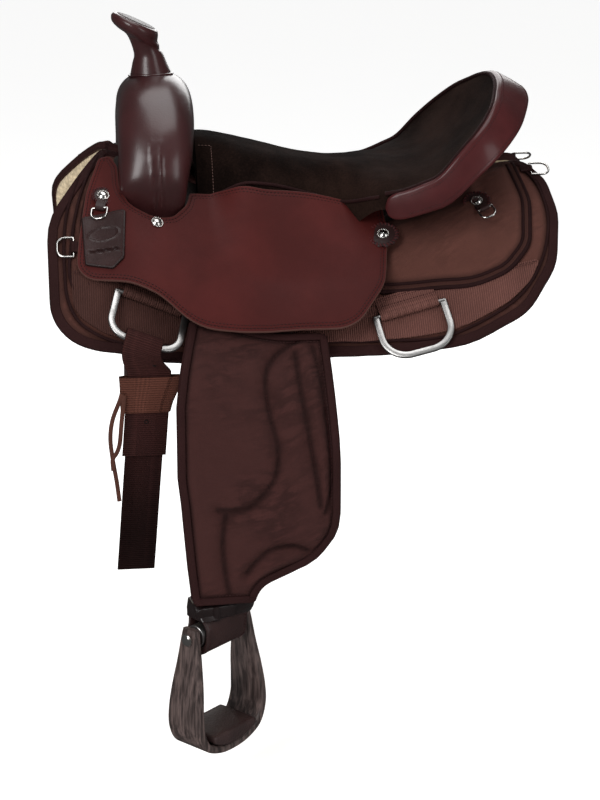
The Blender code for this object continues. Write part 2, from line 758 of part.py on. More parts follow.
def build_fork():
    fork = add_mesh("tree_fork", loft_mesh(fork_rings(0.0), split=True), "tree")
    skins = fork_rings(2 * gap + cover_thickness), fork_rings(2 * gap)
    cover = add_mesh("swell_cover", tube_mesh(*skins, split=True), "burgundy")
    lean = Matrix.Translation(horn_base) @ Matrix.Rotation(-horn_lean, 4, "Y")
    start, end = lean @ Vector((0, 0, -0.004)), lean @ Vector((0, 0, post_height))
    add_mesh("horn_post", rod_mesh(start, end, post_radius, 16), "steel")
    low = lean @ Vector((0, 0, -0.004 - gap))
    high = lean @ Vector((0, 0, post_height + gap))
    combine(fork, rod_mesh(low, high, post_radius + gap, 16), "DIFFERENCE", "post_socket")
    combine(cover, rod_mesh(low, high, post_radius + gap, 16), "DIFFERENCE", "post_hole")
    horn = add_mesh("horn_cover", loft_mesh(horn_rings()), "burgundy")
    combine(horn, rod_mesh(low, high, post_radius + gap, 16), "DIFFERENCE", "post_bore")
    combine(horn, loft_mesh(fork_rings(3 * gap + cover_thickness), split=True), "DIFFERENCE", "swell_seat")


# Seat and cantle. The rim is the welt round the dish, from the end of an arm to the cantle's top
rim = (
    (0.153, 0.090, 0.043), (0.158, 0.111, 0.047), (0.162, 0.135, 0.056), (0.163, 0.157, 0.067),
    (0.158, 0.183, 0.095), (0.145, 0.208, 0.120), (0.118, 0.228, 0.141), (0.083, 0.240, 0.154),
    (0.045, 0.249, 0.165), (0.0, 0.252, 0.170),
)
dish_slope = math.tan(math.radians(47))
dish_plane = (0.262, 0.149)
seat_edge = (
    (-0.133, 0.032), (-0.110, 0.043), (-0.085, 0.054), (-0.055, 0.053), (0.0, 0.0395), (0.055, 0.023),
    (0.083, 0.019),
)
seat_half = (
    (-0.133, 0.0960), (-0.110, 0.0985), (-0.085, 0.1040), (-0.055, 0.1040), (0.0, 0.1015), (0.055, 0.0950),
    (0.083, 0.0915),
)
seat_crown = (
    (-0.133, 0.100), (-0.125, 0.099), (-0.066, 0.086), (0.0, 0.069), (0.067, 0.063), (0.091, 0.062),
    (0.130, 0.062), (0.157, 0.068), (0.183, 0.082), (0.208, 0.105), (0.228, 0.129), (0.240, 0.149),
    (0.249, 0.164),
)
cushion_thickness = 0.018
ground_offset = bar_thickness + gap
ground_front = -0.120
ground_rear = 0.150
ground_inner = 0.050
ground_outer = 0.087


def dish_height(x):
    return dish_plane[1] - dish_slope * (dish_plane[0] - x)


def height_above(x, y, offset):
    """Height of a laid layer where it stands y out from the centreline."""
    low, high = 0.0, 0.4
    for _ in range(30):
        middle = (low + high) / 2
        if on_form(1, x, middle, offset).y < abs(y):
            low = middle
        else:
            high = middle
    return on_form(1, x, low, offset).z


def seat_ring(x, half, edge, crown, wing):
    shares = [-1.0, -0.94, -0.8, -0.6, -0.35, 0.0, 0.35, 0.6, 0.8, 0.94, 1.0]
    power = 2.4 if wing else 3.2

    def top(y):
        return crown + (edge - crown) * min(abs(y) / half, 1.0) ** power

    ring = []
    for share in shares:
        rounding = 0.0015 if abs(share) == 1.0 else 0.0
        ring.append(Vector((x, share * half, top(share * half) - rounding)))
    if x > ground_rear + 0.001:
        floor = dish_height(x) + gap
        inset_half = half * 0.97
        under = [(v * inset_half, max(floor, top(v * inset_half) - cushion_thickness)) for v in shares]
    else:
        floor = ground_offset + ground_seat_thickness + gap
        outer, crease, inner = (on_form(1, x, s, floor) for s in (ground_outer + 0.002, 0.083, ground_inner))
        shelf = half * 0.97
        lip = outer.z + 0.001
        under = [(shelf, top(shelf) - cushion_thickness if wing else edge - 0.010)]
        under += [(outer.y + 0.002, max(lip, top(outer.y) - cushion_thickness) if wing else lip)]
        under += [(outer.y, outer.z), (crease.y, crease.z), (inner.y, inner.z)]
        under = [(-y, z) for y, z in under] + [(0.0, inner.z)] + under[::-1]
    return ring + [Vector((x, y, z)) for y, z in under[::-1]]


def build_seat():
    stations = []
    for x, half in seat_half:
        stations.append(seat_ring(x, half, between(seat_edge, x), between(seat_crown, x), False))
    x, half = seat_half[-1]
    stations.append(seat_ring(x + gap, half + 0.0045, 0.046, between(seat_crown, x), True))
    for y, x, z in ((0.150, x + 2 * gap, 0.0425),) + rim[:-1]:
        stations.append(seat_ring(x, y, z, between(seat_crown, x), True))
    last = rim[-1]
    stations.append(seat_ring(last[1] - 0.0008, rim[-2][0] * 0.45, last[2], last[2], True))
    add_mesh("seat", loft_mesh(stations), "suede")


def build_ground_seat():
    rings = []
    drops = (ground_outer, 0.083, ground_inner)
    for x in [ground_front] + [line for line in lines_x if ground_front < line < ground_rear] + [ground_rear]:
        near_under, far_under = ([on_form(side, x, s, ground_offset) for s in drops] for side in (-1, 1))
        top = ground_offset + ground_seat_thickness
        near_over, far_over = ([on_form(side, x, s, top) for s in drops] for side in (-1, 1))
        rings.append(near_under + far_under[::-1] + far_over + near_over[::-1])
    add_mesh("ground_seat", loft_mesh(rings), "tree")


band_thickness = 0.007
cantle_rear_base = 0.185


def rim_path():
    """Both halves of the rim, from the near arm over the top to the off arm."""
    near = [Vector((x, -y, z)) for y, x, z in rim]
    far = [Vector((x, y, z)) for y, x, z in rim[-2::-1]]
    return near + far


def band_vector(share, side):
    """From the rim to the band's outer edge; share runs from an arm's end to the cantle's top."""
    lift = smooth_step(share)
    flare = side * 0.011 * math.sin(math.pi * min(share * 1.1, 1.0))
    return Vector((0.002 + 0.042 * lift, flare, -0.033 - 0.004 * math.sin(math.pi * share) + 0.009 * lift))


def build_cantle():
    path = rim_path()
    middle = len(rim) - 1
    rings = []
    for i, point in enumerate(path):
        share = 1 - abs(i - middle) / middle
        side = -1 if i < middle else 1 if i > middle else 0
        ahead = path[min(i + 1, len(path) - 1)] - path[max(i - 1, 0)]
        down = band_vector(share, side)
        out = ahead.cross(down).normalized()
        if out.dot(Vector((0.3, side, 0.2 if side else 1.0))) < 0:
            out = -out
        top = point + out * 2 * gap
        rings.append([top, top + out * band_thickness, top + out * band_thickness + down, top + down])
    band = add_mesh("cantle_back", loft_mesh(rings), "burgundy")
    rounding = band.modifiers.new("rounding", "BEVEL")
    rounding.width = 0.0022
    rounding.segments = 1
    rounding.limit_method = "ANGLE"
    rounding.angle_limit = math.radians(50)

    # The tree's cantle stands on the bars and carries the dish, with the roll bent over its rim
    rings = []
    upper = [(y, x, z) for y, x, z in rim[4:]][::-1]
    panel_top = bar_thickness + gap + rear_panel_thickness
    for y in (-0.128, -0.112, -0.0935, -0.0885, -0.046, 0.0, 0.046, 0.0885, 0.0935, 0.112, 0.128):
        if abs(y) < 0.09:
            bases = [height_above(x, 0.0465, bar_thickness) + gap for x in (0.155, cantle_rear_base)]
        else:
            bases = [height_above(x, 0.090, panel_top) + gap for x in (0.165, cantle_rear_base)]
        front = dish_plane[0] - (dish_plane[1] - bases[0]) / dish_slope
        rim_x = between([(a, x) for a, x, z in upper], abs(y))
        rim_z = between([(a, z) for a, x, z in upper], abs(y))
        roll_x = rim_x + 0.026 - 0.05 * abs(y)
        roll_z = rim_z - 0.030
        top_x = min(rim_x - 0.010, dish_plane[0] - (dish_plane[1] - roll_z) / dish_slope - 0.002)
        rings.append([
            Vector((front, y, bases[0])), Vector((top_x, y, dish_height(top_x))), Vector((roll_x, y, roll_z)),
            Vector((roll_x - 0.006, y, roll_z - 0.012)),
            Vector((max(cantle_rear_base, front + 0.01), y, bases[1])),
        ])
    add_mesh("tree_cantle", loft_mesh(rings), "dark")


# Stirrup leather, fender and stirrup of one side
twist_start = 0.085
twist_end = 0.040
spread_height = 0.110
bend_steps = 8
bend_radius = roller_radius / math.cos(math.pi / bend_steps / 2) + gap
bolt_drop = 0.63
ply_middle = leather_height - gap / 2


def leather_x(side, s):
    return hinge_x - hang_forward[side] * (s - hinge_drop)


def bolt_point(side):
    joint = on_form(side, leather_x(side, twist_joint), twist_joint, ply_middle)
    return Vector((leather_x(side, bolt_drop), side * bolt_out, joint.z - hang_length))


def ply_centre(side, height):
    """Point midway between the two plies, at a height above the bolt, and the axes there."""
    joint = on_form(side, leather_x(side, twist_joint), twist_joint, ply_middle)
    bolt = bolt_point(side)
    yaw = bolt_yaw * smooth_step((twist_start - height) / (twist_start - twist_end))
    wide = Vector((math.cos(yaw), -side * math.sin(yaw), 0))
    out = Vector((math.sin(yaw), side * math.cos(yaw), 0))
    return bolt + (joint - bolt) * height / hang_length, wide, out


def ply_spread(height):
    """Distance of a ply's middle from the centre between them, opening round the roller."""
    closed = (leather_thickness + gap) / 2
    opened = bend_radius + leather_thickness / 2
    round_roller = math.sqrt(max((opened + 0.0003) ** 2 - height ** 2, 0.0)) if height > 0 else opened
    return max(closed + (opened - closed) * max(0.0, 1 - height / spread_height) ** 1.2, round_roller)


def on_leg(side, x, s, offset):
    """The form down to the twist, and below it the slanted line to the bolt."""
    if s <= twist_joint:
        return on_form(side, x, s, offset)
    share = (bolt_drop - s) / (bolt_drop - twist_joint)
    centre, wide, out = ply_centre(side, hang_length * share)
    blend = min((s - twist_joint) / 0.05, 1.0)
    middle_x = leather_x(side, s)
    above = on_form(side, x + hang_forward[side] * (s - twist_joint), twist_joint, offset)
    above -= on_form(side, leather_x(side, twist_joint), twist_joint, ply_middle)
    above.x = 0
    level = out * (offset - ply_middle + ply_spread(hang_length * share) - ply_spread(hang_length))
    return centre + wide * (x - middle_x) + level * blend + above * (1 - blend)


fender_shape = (
    (-0.0555, 0.262, 0.015), (-0.085, 0.276, 0.010), (-0.0875, 0.345, 0.200), (-0.0840, 0.430, 0.400),
    (-0.0450, 0.560, 0.200), (-0.0360, 0.592, 0.004), (0.0360, 0.592, 0.004), (0.0440, 0.572, 0.030),
    (0.1040, 0.545, 0.060), (0.1260, 0.490, 0.060), (0.1120, 0.400, 0.300), (0.0785, 0.262, 0.010),
)


def fender_under(x, s):
    return leather_height + leather_thickness + gap + (lower_fender_space if s > twist_joint + 0.005 else 0.0)


def fender_over(x, s):
    return fender_under(x, s) + fender_thickness


# The leather is one strap: its pattern runs down the outer ply, round the roller and up the inner
ply_heights = (0.100, 0.085, 0.074, 0.062, 0.050, 0.040, hobble_top, hobble_foot, 0.012, 0.006)
leather_top = 0.190
inner_top = 0.455
roller_length = 0.05
mirror_line = bolt_drop + roller_length / 2


def leather_point(side, x, t, depth):
    if t <= twist_joint:
        return on_form(side, x, t, leather_height + depth * leather_thickness)
    back = 2 * mirror_line - t
    if back <= twist_joint:
        return on_form(side, x, back, leather_height - gap - depth * leather_thickness)
    if bolt_drop < t < bolt_drop + roller_length:
        angle = math.pi * (t - bolt_drop) / roller_length
        centre, wide, out = ply_centre(side, 0.0)
        ray = out * math.cos(angle) - Vector((0, 0, 1)) * math.sin(angle)
        thick = leather_thickness + 0.007 * math.sin(angle) ** 2
        return centre + wide * (x - leather_x(side, bolt_drop)) + ray * (bend_radius + depth * thick)
    s = t if t <= bolt_drop else back
    outer = 1 if t <= bolt_drop else -1
    spread = ply_spread(hang_length * (bolt_drop - s) / (bolt_drop - twist_joint)) - ply_spread(hang_length)
    middle = ply_middle + outer * (leather_thickness + gap) / 2
    offset = middle + outer * (depth - 0.5) * leather_thickness
    if outer < 0:
        offset -= 2 * spread
    return on_leg(side, x, s, offset)


def leather_pattern(side):
    def edge(t, share):
        s = t if t <= mirror_line else 2 * mirror_line - t
        return (leather_x(side, min(s, bolt_drop)) + share * leather_width / 2, t)

    marks = [leather_top, twist_joint, bolt_drop, bolt_drop + roller_length]
    marks += [2 * mirror_line - twist_joint, 2 * mirror_line - inner_top]
    return [edge(t, -1) for t in marks] + [edge(t, 1) for t in marks[::-1]]


def leather_creases():
    lower = [bolt_drop - (bolt_drop - twist_joint) * h / hang_length for h in ply_heights]
    lines = [s for s in lines_s if s <= twist_joint] + lower + [bolt_drop]
    lines += [bolt_drop + roller_length * k / bend_steps for k in range(1, bend_steps // 2 + 1)]
    return sorted(set(lines + [2 * mirror_line - s for s in lines]))


knob_radius = 0.0080
buckle_s = 0.478
buckle_half = (0.034, 0.020)
pin_radius = 0.0030


def hinge_point(side):
    return on_form(side, hinge_x, hinge_drop, bar_thickness + gap + knob_radius)


stirrup_profile = (
    (0.0500, 0.0130, 0.022), (0.0520, 0.0000, 0.026), (0.0545, -0.0300, 0.036), (0.0585, -0.0620, 0.047),
    (0.0620, -0.0920, 0.053), (0.0615, -0.1180, 0.055), (0.0500, -0.1420, 0.056), (0.0260, -0.1540, 0.056),
    (0.0, -0.1570, 0.056),
)


def stirrup_rings(place):
    path = list(stirrup_profile) + [(-w, z, d) for w, z, d in stirrup_profile[-2::-1]]
    rings = []
    for i, (w, z, depth) in enumerate(path):
        ahead = path[min(i + 1, len(path) - 1)]
        behind = path[max(i - 1, 0)]
        inward = Vector((behind[1] - ahead[1], 0, ahead[0] - behind[0])).normalized()
        inward = -inward if inward.dot(Vector((-w, 0, -0.07 - z))) < 0 else inward
        outer = Vector((w, 0, z))
        inner = outer + inward * leg_thickness
        edge, flat = depth / 2, depth / 2 - 0.003
        shelf = inward * 0.003
        corners = (
            (outer, flat), (outer + shelf, edge), (inner - shelf, edge), (inner, flat),
            (inner, -flat), (inner - shelf, -edge), (outer + shelf, -edge), (outer, -flat),
        )
        rings.append([place @ (p + Vector((0, v, 0))) for p, v in corners])
    return rings


def build_leg(label, side):
    """Fender, stirrup leather and stirrup, hung from the tree bar at the hinge."""
    creases = leather_creases()
    leather = bent_panel(
        f"stirrup_leather_{label}", side, leather_pattern(side), 0.0, 1.0, "dark", leather_point, creases
    )
    knob = bmesh.new()
    bmesh.ops.create_uvsphere(knob, u_segments=12, v_segments=8, radius=knob_radius)
    knob.transform(Matrix.Translation(hinge_point(side)))
    combine(leather, knob, "UNION", f"strap_knob_{label}")
    outline = rounded([(x + leather_x(side, s), s, radius) for x, s, radius in fender_shape], 20)
    layers = fender_under, fender_over
    fender = bent_panel(f"fender_{label}", side, outline, *layers, "cordura", on_leg, creases)

    # Quick-change buckle: a plate on the inner ply with two pins through both plies
    plate_top = leather_height - 2 * gap - leather_thickness
    middle = leather_x(side, buckle_s)
    place = frame_on(side, middle, buckle_s, lambda u, v: 0.0)
    corners = ((-1, -1), (1, -1), (1, 1), (-1, 1))
    plate = rounded([(x * buckle_half[0], y * buckle_half[1], 0.004) for x, y in corners], 45)
    plate_low = plate_top - 0.0045
    buckle = add_mesh(f"buckle_{label}", plate_mesh(plate, plate_low, plate_low + 0.0030, place), "steel")
    for k, shift in enumerate((-0.018, 0.018)):
        start = place @ Vector((shift, 0, plate_top - 0.003))
        end = place @ Vector((shift, 0, leather_height + 0.0025))
        combine(buckle, rod_mesh(start, end, pin_radius, 8), "UNION", f"buckle_pin_{k}_{label}")
        hole = rod_mesh(start, end + (end - start).normalized() * gap, pin_radius + bore_play, 8)
        combine(leather, hole, "DIFFERENCE", f"pin_hole_{k}_{label}")

    bolt, wide, out = ply_centre(side, 0.0)
    place = Matrix((wide, out, Vector((0, 0, 1)))).transposed().to_4x4()
    place.translation = bolt
    axle = place @ Matrix(((0, 0, 1, 0), (0, 1, 0, 0), (1, 0, 0, 0), (0, 0, 0, 1)))
    head = 0.0534
    bolt_profile = (
        (-head - 0.0040, 0.0024), (-head - 0.0028, 0.0060), (-head - 0.0010, 0.0078), (-head, 0.0078),
        (-head, bolt_radius), (head, bolt_radius),
        (head, 0.0078), (head + 0.0010, 0.0078), (head + 0.0028, 0.0060), (head + 0.0040, 0.0024),
    )
    bolt_part = add_mesh(f"bolt_{label}", lathe_mesh(bolt_profile, axle), "steel")
    bore = bolt_radius + bore_play
    circle = [(math.cos(2 * math.pi * k / 16), math.sin(2 * math.pi * k / 16)) for k in range(16)]
    rim_outline, bore_outline = ([(x * r, y * r) for x, y in circle] for r in (roller_radius, bore))
    roller = plate_mesh(rim_outline, -roller_half, roller_half, axle, bore_outline)
    roller_part = add_mesh(f"roller_{label}", roller, "steel")
    rings = {}
    for wall in (0.0, hobble_wall):
        rings[wall] = []
        for height in (hobble_top, hobble_foot):
            centre, across, outward = ply_centre(side, height)
            half = leather_width / 2 + 0.0008 + wall
            deep = ply_spread(height) + leather_thickness / 2 + 0.0007 + wall
            cut = 0.0005 + wall * 0.5
            corners = (
                (half - cut, deep), (-half + cut, deep), (-half, deep - cut), (-half, cut - deep),
                (-half + cut, -deep), (half - cut, -deep), (half, cut - deep), (half, deep - cut),
            )
            rings[wall].append([centre + across * u + outward * v for u, v in corners])
    hobble = add_mesh(f"hobble_strap_{label}", tube_mesh(rings[hobble_wall], rings[0.0]), "burgundy")
    frame = add_mesh(f"stirrup_frame_{label}", loft_mesh(stirrup_rings(place)), "wood")
    ends = [axle @ Vector((0, 0, reach)) for reach in (-0.06, 0.06)]
    combine(frame, rod_mesh(*ends, bore, 12), "DIFFERENCE", f"bolt_hole_{label}")
    pad = (
        (-tread_half, tread_top), (-tread_half, tread_top - 0.0083), (-0.0215, -0.1444), (0.0, -0.1464),
        (0.0215, -0.1444), (tread_half, tread_top - 0.0083), (tread_half, tread_top),
    )
    upright = place @ Matrix(((1, 0, 0, 0), (0, 0, 1, 0), (0, 1, 0, 0), (0, 0, 0, 1)))
    tread = add_mesh(f"tread_{label}", plate_mesh(pad, -0.030, 0.030, upright), "dark")
    swing = pivot(f"fender_pivot_{label}", hinge_point(side), [leather, fender, buckle, hobble, roller_part])
    pivot(f"stirrup_pivot_{label}", bolt, [frame, tread, bolt_part], swing)


def main():
    for label, side in sides.items():
        lay_side(label, side)
        build_leg(label, side)
    build_fork()
    build_ground_seat()
    build_seat()
    build_cantle()


main()
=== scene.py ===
import json
import math

import bmesh
import bpy
import numpy as np
from mathutils import Matrix, Vector, noise


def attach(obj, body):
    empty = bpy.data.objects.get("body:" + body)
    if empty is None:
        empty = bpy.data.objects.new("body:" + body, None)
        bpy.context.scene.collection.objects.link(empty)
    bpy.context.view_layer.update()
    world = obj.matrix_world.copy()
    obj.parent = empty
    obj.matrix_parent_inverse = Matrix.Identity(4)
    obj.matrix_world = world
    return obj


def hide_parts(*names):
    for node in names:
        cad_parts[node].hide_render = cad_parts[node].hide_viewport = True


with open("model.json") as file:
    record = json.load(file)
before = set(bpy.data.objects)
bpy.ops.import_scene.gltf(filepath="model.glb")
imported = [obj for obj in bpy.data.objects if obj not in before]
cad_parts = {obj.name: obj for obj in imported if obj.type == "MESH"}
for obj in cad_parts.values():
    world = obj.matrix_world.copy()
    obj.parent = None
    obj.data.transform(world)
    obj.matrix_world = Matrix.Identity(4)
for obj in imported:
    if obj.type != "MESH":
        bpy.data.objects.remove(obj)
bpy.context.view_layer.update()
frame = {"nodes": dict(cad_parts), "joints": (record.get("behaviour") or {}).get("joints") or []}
nodes = frame["nodes"]
joints = {joint["name"]: joint for joint in frame["joints"]}
sides = {"left": -1, "right": 1}
legBody = {"left": "near_leg", "right": "off_leg"}
prefix = {"left": "near", "right": "off"}

viewpoint = {
    "azimuth": -6.5,
    "elevation": 17.0,
    "distance": 2.5,
    "target": (0.0, 0.0, -0.27),
    "lens": 81.7,
}


def placeCamera():
    azimuth = math.radians(viewpoint["azimuth"])
    elevation = math.radians(viewpoint["elevation"])
    level = math.cos(elevation)
    back = Vector((math.sin(azimuth) * level, -math.cos(azimuth) * level, math.sin(elevation)))
    data = bpy.data.cameras.new("camera")
    data.lens = viewpoint["lens"]
    camera = bpy.data.objects.new("camera", data)
    bpy.context.scene.collection.objects.link(camera)
    camera.location = Vector(viewpoint["target"]) + back * viewpoint["distance"]
    camera.rotation_euler = (-back).to_track_quat("-Z", "Y").to_euler()
    bpy.context.scene.camera = camera


placeCamera()
print("camera placed")

# The form of the horse's back, as the outer face of the skirts: its slope in degrees against the
# distance down the side, and how far the two ends rise
form = {
    "slopes": (
        (0.0, 14), (0.05, 30), (0.12, 36), (0.20, 42), (0.31, 55), (0.38, 70), (0.50, 84), (0.60, 88),
        (1.0, 88),
    ),
    "crest": 0.020,
    "withersRise": 0.080,
    "loinRise": 0.052,
    "level": 0.040,
    "riseLength": 0.250,
    "step": 0.001,
}


def measureForm():
    s = np.arange(0.0, 0.75, form["step"])
    slope = np.radians(np.interp(s, *zip(*form["slopes"])))
    y = np.concatenate(([0.0], np.cumsum(np.cos(slope) * form["step"])[:-1]))
    z = form["crest"] - np.concatenate(([0.0], np.cumsum(np.sin(slope) * form["step"])[:-1]))
    return {"s": s, "y": y, "z": z, "sin": np.sin(slope), "cos": np.cos(slope)}


arc = measureForm()


def smoothStep(value):
    value = np.clip(value, 0.0, 1.0)
    return value * value * (3 - 2 * value)


def riseOf(x):
    top = np.where(np.asarray(x) < 0, form["withersRise"], form["loinRise"])
    return top * smoothStep((np.abs(x) - form["level"]) / form["riseLength"])


def onForm(side, x, s, offset=0.0):
    x, s, offset = np.broadcast_arrays(np.asarray(x, float), s, offset)
    y = np.interp(s, arc["s"], arc["y"]) + np.interp(s, arc["s"], arc["sin"]) * offset
    z = np.interp(s, arc["s"], arc["z"]) + np.interp(s, arc["s"], arc["cos"]) * offset + riseOf(x)
    return np.stack([x, side * y, z], -1)


def heightAbove(x, y, offset):
    reach = arc["y"] + arc["sin"] * offset
    return np.interp(np.abs(y), reach, arc["z"] + arc["cos"] * offset) + riseOf(x)


# Curves and outlines
def unit(vectors):
    return vectors / np.linalg.norm(vectors, axis=-1, keepdims=True)


def normalOn(side, x, s, offset):
    reach = 0.002
    along = onForm(side, x + reach, s, offset) - onForm(side, x - reach, s, offset)
    down = onForm(side, x, s + reach, offset) - onForm(side, x, s - reach, offset)
    return unit(np.cross(along, down) * side)


def circle(count):
    return 2 * math.pi * np.arange(count) / count


def squared(wave, power):
    # makes a sine or cosine into one side of a rounded oblong
    return np.copysign(np.abs(wave) ** (2 / power), wave)


def rounded(corners, turnStep=9.0):
    outline = []
    count = len(corners)
    for i, (x, y, radius) in enumerate(corners):
        here = Vector((x, y))
        before = Vector(corners[i - 1][:2]) - here
        after = Vector(corners[(i + 1) % count][:2]) - here
        angle = before.angle(after)
        reach = min(radius / math.tan(angle / 2), before.length * 0.49, after.length * 0.49)
        if reach < 1e-5 or math.pi - angle < 0.02:
            outline.append(here)
            continue
        radius = reach * math.tan(angle / 2)
        centre = here + (before.normalized() + after.normalized()).normalized() * radius / math.sin(angle / 2)
        start = here + before.normalized() * reach - centre
        sweepAngle = start.angle_signed(here + after.normalized() * reach - centre)
        steps = max(1, round(abs(math.degrees(sweepAngle)) / turnStep))
        for k in range(steps + 1):
            outline.append(centre + start @ Matrix.Rotation(sweepAngle * k / steps, 2))
    return np.array([(p.x, p.y) for p in outline])


def closedUp(points):
    return np.vstack([points, points[:1]])


def lengthsAlong(path):
    return np.concatenate(([0.0], np.cumsum(np.linalg.norm(np.diff(path, axis=0), axis=1))))


def spaced(points, step, closed=False):
    # the same path with evenly spaced points
    points = np.asarray(points, float)
    path = closedUp(points) if closed else points
    lengths = lengthsAlong(path)
    marks = np.linspace(0, lengths[-1], max(2, round(lengths[-1] / step)) + 1)
    if closed:
        marks = marks[:-1]
    return np.stack([np.interp(marks, lengths, column) for column in path.T], -1)


def curved(points, steps=8):
    # Catmull-Rom through the points
    points = np.asarray(points, float)
    out = []
    for i in range(len(points) - 1):
        b, c = points[i], points[i + 1]
        a = points[i - 1] if i else 2 * b - c
        d = points[i + 2] if i + 2 < len(points) else 2 * c - b
        for t in np.arange(steps) / steps:
            bend = (2 * a - 5 * b + 4 * c - d) * t * t + (3 * b - a - 3 * c + d) * t ** 3
            out.append(0.5 * (2 * b + (c - a) * t + bend))
    return np.array(out + [points[-1]])


def smoothTable(table, value):
    # smooth reading of a table of (position, amount)
    at, amount = (np.array(column, float) for column in zip(*table))
    slope = np.gradient(amount, at)
    value = np.clip(value, at[0], at[-1])
    i = np.clip(np.searchsorted(at, value, side="right") - 1, 0, len(at) - 2)
    h = at[i + 1] - at[i]
    t = (value - at[i]) / h
    rising = amount[i] * (1 + 2 * t) * (1 - t) ** 2 + slope[i] * h * t * (1 - t) ** 2
    return rising + amount[i + 1] * t * t * (3 - 2 * t) + slope[i + 1] * h * t * t * (t - 1)


def inset(loop, distance):
    # a closed outline moved inward
    ahead = np.roll(loop, -1, 0)
    area = np.sum(loop[:, 0] * ahead[:, 1] - ahead[:, 0] * loop[:, 1])
    tangent = unit(ahead - np.roll(loop, 1, 0))
    return loop + np.stack([-tangent[:, 1], tangent[:, 0]], -1) * np.sign(area) * distance


def distanceTo(points, line, closed=False):
    # distance from each flat point to a line of points
    line = closedUp(line) if closed else np.asarray(line, float)
    start, step = line[:-1], np.diff(line, axis=0)
    length2 = np.maximum((step ** 2).sum(1), 1e-12)
    best = np.full(len(points), 1e9)
    for chunk in range(0, len(points), 4000):
        p = points[chunk:chunk + 4000, None, :]
        t = np.clip(((p - start) * step).sum(2) / length2, 0, 1)
        gapTo = np.linalg.norm(p - start - t[..., None] * step, axis=2)
        best[chunk:chunk + 4000] = gapTo.min(1)
    return best


def wobble(points, scale, seed=0.0):
    # smooth noise at each point, from -1 to 1
    shift = Vector((seed, seed * 0.7, 0))
    return np.array([noise.noise(Vector((*p, 0.0)[:3]) * scale + shift) for p in points])


# Meshes
def makeMesh(name, parts, material, sharp=35, flip=True):
    # parts is a list of (points, faces, flat coordinates)
    points, faces, flats, start = [], [], [], 0
    for part in parts:
        places = np.asarray(part[0], float)
        points.append(places)
        faces += [[index + start for index in face] for face in part[1]]
        flats.append(part[2] if len(part) > 2 else np.zeros((len(places), 3)))
        start += len(places)
    mesh = bpy.data.meshes.new(name)
    mesh.from_pydata(np.vstack(points).tolist(), [], faces)
    flat = mesh.attributes.new("flat", "FLOAT_VECTOR", "POINT")
    flat.data.foreach_set("vector", np.vstack(flats).astype(np.float32).ravel())
    if flip:
        bm = bmesh.new()
        bm.from_mesh(mesh)
        bmesh.ops.recalc_face_normals(bm, faces=bm.faces[:])
        if bm.calc_volume(signed=True) < 0:
            bmesh.ops.reverse_faces(bm, faces=bm.faces[:])
        bm.to_mesh(mesh)
        bm.free()
    mesh.materials.append(material)
    mesh.shade_smooth()
    if sharp:
        mesh.set_sharp_from_angle(angle=math.radians(sharp))
    piece = bpy.data.objects.new(name, mesh)
    bpy.context.scene.collection.objects.link(piece)
    return piece


def addPiece(name, parts, finish, replaces=(), body="saddle", sharp=35, flip=True):
    piece = makeMesh(name, parts, finishes[finish], sharp, flip)
    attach(piece, body)
    if replaces:
        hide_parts(*replaces)
    return piece


def flatPanel(loop, cellX, cellS, rims):
    # an outline cut into cells, with extra rings just inside its edge
    bm = bmesh.new()
    rows = [[bm.verts.new((x, s, 0)) for x, s in inset(loop, rim)] for rim in (0.0, *rims)]
    for outer, inner in zip(rows, rows[1:]):
        for i in range(len(outer)):
            bm.faces.new((outer[i - 1], outer[i], inner[i], inner[i - 1]))
    bm.faces.new(rows[-1])
    for axis, cell in ((0, cellX), (1, cellS)):
        low, high = loop[:, axis].min(), loop[:, axis].max()
        for line in np.arange(math.ceil(low / cell) * cell, high, cell):
            point, normal = [0, 0, 0], [0, 0, 0]
            point[axis], normal[axis] = line + 1e-5, 1
            geometry = bm.verts[:] + bm.edges[:] + bm.faces[:]
            bmesh.ops.bisect_plane(bm, geom=geometry, dist=1e-6, plane_co=point, plane_no=normal)
    bm.verts.index_update()
    points = np.array([v.co[:2] for v in bm.verts])
    faces = [[v.index for v in face.verts] for face in bm.faces]
    border = [[v.index for v in edge.verts] for edge in bm.edges if edge.is_boundary]
    bm.free()
    return {"points": points, "faces": faces, "border": border, "edge": distanceTo(points, loop, True)}


def shellOf(flat, top, bottom):
    # closes a panel's top and underside with a wall round the border
    count = len(top)
    faces = flat["faces"] + [[index + count for index in face[::-1]] for face in flat["faces"]]
    faces += [[a, b, b + count, a + count] for a, b in flat["border"]]
    coords = np.column_stack([flat["points"], flat["edge"]])
    return np.vstack([top, bottom]), faces, np.vstack([coords, coords])


def tubeFaces(n, m, closed=False, capped=True):
    # the walls between n rings of m points, and a cap at each end of an open run
    faces = []
    for i in range(n if closed else n - 1):
        a, b = i * m, (i + 1) % n * m
        faces += [[a + k, a + (k + 1) % m, b + (k + 1) % m, b + k] for k in range(m)]
    if capped and not closed:
        faces += [list(range(m))[::-1], [(n - 1) * m + k for k in range(m)]]
    return faces


def sweep(points, normals, profile, closed=False, widen=None):
    # carries a flat profile of (across, up) along a path lying on a surface
    points = np.asarray(points, float)
    normals = np.broadcast_to(np.asarray(normals, float), points.shape)
    profile = np.asarray(profile, float)
    ahead = np.roll(points, -1, 0) - np.roll(points, 1, 0) if closed else np.gradient(points, axis=0)
    across = unit(np.cross(ahead, normals))
    up = unit(np.cross(across, ahead))
    n, m = len(points), len(profile)
    size = np.ones(n) if widen is None else np.asarray(widen)
    spread = across[:, None] * profile[None, :, :1] + up[:, None] * profile[None, :, 1:]
    rings = points[:, None] + spread * size[:, None, None]
    flats = np.stack(
        [np.repeat(lengthsAlong(points), m), np.tile(profile[:, 0], n), np.full(n * m, 0.05)], -1,
    )
    return rings.reshape(-1, 3), tubeFaces(n, m, closed), flats


